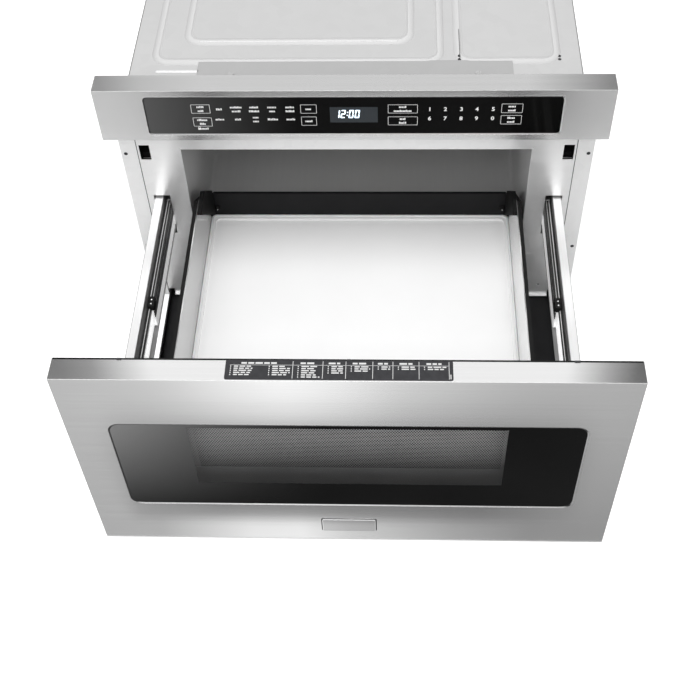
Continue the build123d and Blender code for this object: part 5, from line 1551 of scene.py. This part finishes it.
class MICROWAVE_OT_cavity(bpy.types.Operator):
    """Finish the oven cavity, its lamp and what feeds it"""

    bl_idname = "microwave.cavity"
    bl_label = "Cavity"

    def execute(self, context):
        dress("cavity_steel", cavity_steel(settings().metal.cavity))
        dress("lamp_glass", lamp_glass(BASE_COLOURS["lamp_glass"]))
        dress("iron_core", iron_core(BASE_COLOURS["iron_core"]))
        dress("aluminium", aluminium(BASE_COLOURS["aluminium"]))
        return {"FINISHED"}


class MICROWAVE_OT_slides(bpy.types.Operator):
    """Finish the slides and the drive, and add the stops on the middle rails"""

    bl_idname = "microwave.slides"
    bl_label = "Slides and Drive"

    def execute(self, context):
        dress("rail_zinc", bright_zinc(settings().metal.rails))
        for side in ("left", "right"):
            dress_node("rail_bracket_" + side, bracket_zinc(settings().metal.rails))
            for rail in ("mid_rail_", "drawer_rail_"):
                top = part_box(rail + side)[1][2]
                dress_node(rail + side, slide_steel(settings().metal.rails, top))
            self.end_stop(side)
        dress("bearing_steel", ground_steel(BASE_COLOURS["bearing_steel"]))
        dress("gear_plastic", moulded_plastic("gear_plastic", BASE_COLOURS["gear_plastic"], 0.4))
        return {"FINISHED"}

    def end_stop(self, side):
        """Black stop clipped over the front end of a middle rail, with two bright rivets."""
        low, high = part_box("mid_rail_" + side)
        sign = -1 if side == "left" else 1
        front = low.y - 0.6 * MM
        left, right = sorted(sign * edge * MM for edge in STOP_SIDES)
        wide = rounded_outline((left, front), (right, front + STOP_LONG * MM), 1.6 * MM, 4)
        start, end = (left + 0.8 * MM, front + 0.8 * MM), (right - 0.8 * MM, front + (STOP_LONG - 1) * MM)
        slim = rounded_outline(start, end, 1.2 * MM, 4)
        stop = Sketch(lying)
        stop.loft([(wide, high.z - 7 * MM), (wide, high.z + 0.8 * MM), (slim, high.z + 1.3 * MM)])
        rivets = Sketch(lying)
        for place in RIVET_PLACES:
            rivets.turned((sign * RIVET_ASIDE * MM, front + place * MM), RIVET_RINGS, high.z, 16)
        body = "mid_slide_" + side
        stop.piece("mid_stop_" + side, body, black_film("stop_plastic_" + side, 0.012), "black_plastic")
        bright = ground_steel(BASE_COLOURS["bearing_steel"])
        rivets.piece("mid_stop_rivets_" + side, body, bright, "bearing_steel")


# ---------------------------------------------------------------------------------------------------------------------
# Stage
# ---------------------------------------------------------------------------------------------------------------------

# Brightness of the reflected card: share of the front's width from the left, and level, for the steel above
# the glass, for the steel below it and for the glass.
UPPER_CARD = [
    (0.0, 0.63),
    (0.12, 0.72),
    (0.20, 0.86),
    (0.30, 1.25),
    (0.40, 1.50),
    (0.50, 1.28),
    (0.60, 0.92),
    (0.80, 0.64),
    (1.0, 0.55),
]
LOWER_CARD = [
    (0.0, 0.54),
    (0.12, 0.58),
    (0.20, 0.80),
    (0.30, 1.08),
    (0.40, 1.14),
    (0.50, 0.82),
    (0.70, 0.50),
    (0.85, 0.36),
    (1.0, 0.38),
]
GLASS_CARD = [(0.0, 0.48), (0.25, 0.26), (0.75, 0.22), (1.0, 0.42)]
# Where the card's levels change along Y: from the upper steel's to the lower one's, and the glass's between.
LOWER_START, LOWER_END = -0.60, -0.41
GLASS_START, GLASS_END = -0.565, -0.425
# Where the glass's levels fade in and out, as shares of the front's width.
GLASS_LEFT, GLASS_RIGHT = (0.055, 0.085), (0.915, 0.945)
CARD_SIDE, CARD_FRONT = 0.9, -1.6
# How strongly the floor glows to the camera and to reflections.
FLOOR_GLOW = (0.60, 0.06)
# The same shares and levels for the cards behind the two top faces.
DOOR_TOP_CARD = [(0.0, 0.26), (0.06, 0.40), (0.16, 1.15), (0.88, 1.15), (0.95, 0.50), (1.0, 0.18)]
PANEL_TOP_CARD = [(0.0, 0.35), (0.08, 0.58), (0.2, 0.70), (0.84, 0.70), (0.94, 0.46), (1.0, 0.28)]


class MICROWAVE_OT_stage(bpy.types.Operator):
    """Set up the floor, the light, the cards that the steel reflects and the camera"""

    bl_idname = "microwave.stage"
    bl_label = "Stage"

    def execute(self, context):
        scene = context.scene
        scene.view_settings.view_transform = "Standard"
        self.floor()
        self.world(scene)
        self.lamps()
        self.front_card()
        self.top_card("door_top_card", DOOR_HIGH, DOOR_TOP_CARD)
        self.top_card("panel_top_card", PANEL_HIGH, PANEL_TOP_CARD)
        self.camera(scene)
        return {"FINISHED"}

    def floor(self):
        """A plain pale floor that looks white to the camera and is far dimmer in reflections."""
        material = bpy.data.materials.new("studio_floor")
        material.use_nodes = True
        tree = material.node_tree
        tree.nodes.clear()
        matt = tree.nodes.new("ShaderNodeBsdfDiffuse")
        matt.inputs["Color"].default_value = (*settings().studio.floor_colour, 1.0)
        lit = tree.nodes.new("ShaderNodeEmission")
        lit.inputs["Color"].default_value = (1.0, 1.0, 1.0, 1.0)
        both = tree.nodes.new("ShaderNodeAddShader")
        out = tree.nodes.new("ShaderNodeOutputMaterial")
        tree.links.new(seen_directly(tree, *FLOOR_GLOW), lit.inputs["Strength"])
        tree.links.new(matt.outputs[0], both.inputs[0])
        tree.links.new(lit.outputs[0], both.inputs[1])
        tree.links.new(both.outputs[0], out.inputs["Surface"])
        floor = flat_square("studio_floor", 6.0, Vector((0.0, 0.0, CAD_BOX[0][2] - 0.4 * MM)), material)

    def world(self, scene):
        """White for the camera and for reflections, a plain grey level for the light on the object."""
        world = bpy.data.worlds.new("studio_world")
        scene.world = world
        world.use_nodes = True
        tree = world.node_tree
        background = tree.nodes["Background"]
        background.inputs["Color"].default_value = (1.0, 1.0, 1.0, 1.0)
        level = settings().studio.fill
        mix = tree.nodes.new("ShaderNodeMapRange")
        mix.inputs["To Min"].default_value = level
        mix.inputs["To Max"].default_value = 1.0
        tree.links.new(seen_directly(tree, 1.0), mix.inputs["Value"])
        tree.links.new(mix.outputs[0], background.inputs["Strength"])

    def lamps(self):
        """A lamp in front, and one overhead that reflections do not show."""
        studio = settings().studio
        self.lamp("key_lamp", (-0.3, -2.2, 2.4), (0, -0.1, 0.2), (2.4, 1.6), studio.key_power)
        overhead = self.lamp("top_lamp", (0.0, -0.5, 2.4), (0, -0.2, 0), (1.2, 1.2), studio.top_power)
        overhead.visible_glossy = False

    def lamp(self, name, place, target, size, power):
        """A rectangular lamp that points at a target."""
        light = bpy.data.lights.new(name, "AREA")
        light.shape = "RECTANGLE"
        light.size, light.size_y = size
        light.energy = power
        made = bpy.data.objects.new(name, light)
        bpy.context.scene.collection.objects.link(made)
        made.location = place
        made.rotation_euler = (Vector(target) - Vector(place)).to_track_quat("-Z", "Y").to_euler()
        return made

    def front_card(self):
        """A shaded card on the floor before the door, seen only in reflections."""
        card = Finish("front_card", {})
        # The bands fan out from the photograph's viewpoint, mirrored in the door. So each tone stays at one
        # place along the door, but in that view only.
        eye = settings().camera.place
        mirror = 2 * DOOR_LOW.y - eye[1]
        reach = mirror - DOOR_LOW.y
        aside = card.maths("SUBTRACT", card.axis("X"), eye[0])
        away = card.maths("SUBTRACT", mirror, card.axis("Y"))
        place = card.maths("MULTIPLY", card.maths("DIVIDE", aside, away), reach)
        across = card.spread(place, 0.0, 1.0, DOOR_LOW.x - eye[0], DOOR_HIGH.x - eye[0])
        upper = grey_ramp(card, across, *UPPER_CARD)
        lower = grey_ramp(card, across, *LOWER_CARD)
        near = card.spread(card.axis("Y"), 0.0, 1.0, LOWER_START, LOWER_END)
        steel = card.maths("ADD", upper, card.maths("MULTIPLY", card.maths("SUBTRACT", lower, upper), near))
        glass = grey_ramp(card, across, *GLASS_CARD)
        left = card.spread(across, 0.0, 1.0, *GLASS_LEFT)
        right = card.spread(across, 1.0, 0.0, *GLASS_RIGHT)
        ends = card.inside("Y", GLASS_START, GLASS_END, 12 * MM)
        middle = card.maths("MULTIPLY", card.maths("MULTIPLY", left, right), ends)
        around = card.maths("MULTIPLY", steel, card.maths("SUBTRACT", 1.0, middle))
        level = card.maths("ADD", around, card.maths("MULTIPLY", glass, middle))
        z = CAD_BOX[0][2] + 0.2 * MM
        rear = DOOR_LOW.y - 2 * MM
        side = CARD_SIDE
        corners = [(-side, CARD_FRONT, z), (side, CARD_FRONT, z), (side, rear, z), (-side, rear, z)]
        reflected_card("front_card", card, level, corners)

    def top_card(self, name, corner, stops):
        """A narrow card close behind a top face, which only that face reflects."""
        card = Finish(name, {})
        across = card.spread(card.axis("X"), 0.0, 1.0, PANEL_LOW.x, PANEL_HIGH.x)
        level = grey_ramp(card, across, *stops)
        y, half = corner.y + 6 * MM, PANEL_HIGH.x + 60 * MM
        low, high = corner.z + 2 * MM, corner.z + 110 * MM
        corners = [(-half, y, low), (half, y, low), (half, y, high), (-half, y, high)]
        reflected_card(name, card, level, corners)

    def camera(self, scene):
        """The camera at the photograph's viewpoint."""
        shot = settings().camera
        data = bpy.data.cameras.new("photo_camera")
        data.sensor_width = 36.0
        data.lens = shot.lens
        data.clip_start = 0.05
        camera = bpy.data.objects.new("photo_camera", data)
        scene.collection.objects.link(camera)
        ahead = Vector(
            (
                math.sin(shot.turn) * math.cos(shot.down),
                math.cos(shot.turn) * math.cos(shot.down),
                -math.sin(shot.down),
            )
        )
        right = Vector((math.cos(shot.turn), -math.sin(shot.turn), 0.0))
        up = right.cross(ahead)
        across = right * math.cos(shot.roll) + up * math.sin(shot.roll)
        upright = up * math.cos(shot.roll) - right * math.sin(shot.roll)
        turn = Matrix((across, upright, -ahead)).transposed()
        camera.matrix_world = Matrix.Translation(shot.place) @ turn.to_4x4()
        scene.camera = camera


def grey_ramp(finish, factor, *stops):
    """A value that follows (place, level) stops, where a level may pass 1."""
    top = max(level for _, level in stops)
    colours = [(place, (level / top,) * 3) for place, level in stops]
    return finish.maths("MULTIPLY", finish.ramp(factor, *colours), top)


def reflected_card(name, finish, level, corners):
    """A glowing studio card that only reflections show."""
    glow = finish.add("ShaderNodeEmission", {"Color": (1.0, 1.0, 1.0, 1.0), "Strength": level})
    out = finish.tree.nodes["Material Output"]
    finish.tree.links.new(glow.outputs[0], out.inputs["Surface"])
    finish.tree.nodes.remove(finish.shader)
    mesh = bpy.data.meshes.new(name)
    mesh.from_pydata(corners, [], [(0, 1, 2, 3)])
    mesh.materials.append(finish.material)
    card = bpy.data.objects.new(name, mesh)
    bpy.context.scene.collection.objects.link(card)
    card.visible_camera = False
    card.visible_diffuse = False
    card.visible_shadow = False
    card.visible_transmission = False


def seen_directly(tree, strength, reflected=None):
    """The strength for camera and transmission rays, the reflected level for glossy rays, else 0."""
    path = tree.nodes.new("ShaderNodeLightPath")
    total = None
    levels = {
        "Is Camera Ray": strength,
        "Is Glossy Ray": strength if reflected is None else reflected,
        "Is Transmission Ray": strength,
    }
    for ray, level in levels.items():
        scale = tree.nodes.new("ShaderNodeMath")
        scale.operation = "MULTIPLY"
        tree.links.new(path.outputs[ray], scale.inputs[0])
        scale.inputs[1].default_value = level
        if total is None:
            total = scale.outputs[0]
            continue
        node = tree.nodes.new("ShaderNodeMath")
        node.operation = "MAXIMUM"
        tree.links.new(total, node.inputs[0])
        tree.links.new(scale.outputs[0], node.inputs[1])
        total = node.outputs[0]
    return total


def flat_square(name, half, place, material):
    """A level square round a middle point."""
    mesh = bpy.data.meshes.new(name)
    corners = [(-half, -half), (half, -half), (half, half), (-half, half)]
    mesh.from_pydata([(place.x + u, place.y + v, place.z) for u, v in corners], [], [(0, 1, 2, 3)])
    mesh.materials.append(material)
    made = bpy.data.objects.new(name, mesh)
    bpy.context.scene.collection.objects.link(made)
    return made


# ---------------------------------------------------------------------------------------------------------------------
# Add-on
# ---------------------------------------------------------------------------------------------------------------------


class DrawerSettings(bpy.types.PropertyGroup):
    """All settings of the microwave drawer's looks."""

    metal: bpy.props.PointerProperty(type=MetalSettings, name="Metal", description="Sheet metals")
    panel: bpy.props.PointerProperty(type=PanelSettings, name="Panel", description="Touch panel")
    door: bpy.props.PointerProperty(type=DoorSettings, name="Door", description="Door and screen")
    camera: bpy.props.PointerProperty(type=CameraSettings, name="Camera", description="Viewpoint")
    studio: bpy.props.PointerProperty(type=StudioSettings, name="Studio", description="Light and floor")


OPERATORS = (
    MICROWAVE_OT_case,
    MICROWAVE_OT_control_panel,
    MICROWAVE_OT_door,
    MICROWAVE_OT_menu_label,
    MICROWAVE_OT_tray,
    MICROWAVE_OT_cavity,
    MICROWAVE_OT_slides,
    MICROWAVE_OT_stage,
)


class MICROWAVE_PT_looks(bpy.types.Panel):
    """Lists the steps that dress the microwave drawer, and their settings"""

    bl_label = "Microwave Drawer"
    bl_idname = "MICROWAVE_PT_looks"
    bl_space_type = "VIEW_3D"
    bl_region_type = "UI"
    bl_category = "Microwave Drawer"

    def draw(self, context):
        for operator in OPERATORS:
            self.layout.operator(operator.bl_idname)
        for group in ("metal", "panel", "door", "camera", "studio"):
            box = self.layout.box()
            values = getattr(context.scene.microwave_drawer, group)
            for name in values.bl_rna.properties.keys():
                if name not in ("rna_type", "name"):
                    box.prop(values, name)


CLASSES = (
    MetalSettings,
    PanelSettings,
    DoorSettings,
    CameraSettings,
    StudioSettings,
    DrawerSettings,
    *OPERATORS,
    MICROWAVE_PT_looks,
)


def register():
    for cls in CLASSES:
        bpy.utils.register_class(cls)
    bpy.types.Scene.microwave_drawer = bpy.props.PointerProperty(type=DrawerSettings)


def unregister():
    del bpy.types.Scene.microwave_drawer
    for cls in reversed(CLASSES):
        bpy.utils.unregister_class(cls)


def main():
    register()
    for operator in OPERATORS:
        getattr(bpy.ops.microwave, operator.bl_idname.split(".")[1])()


if __name__ == "__main__":
    main()
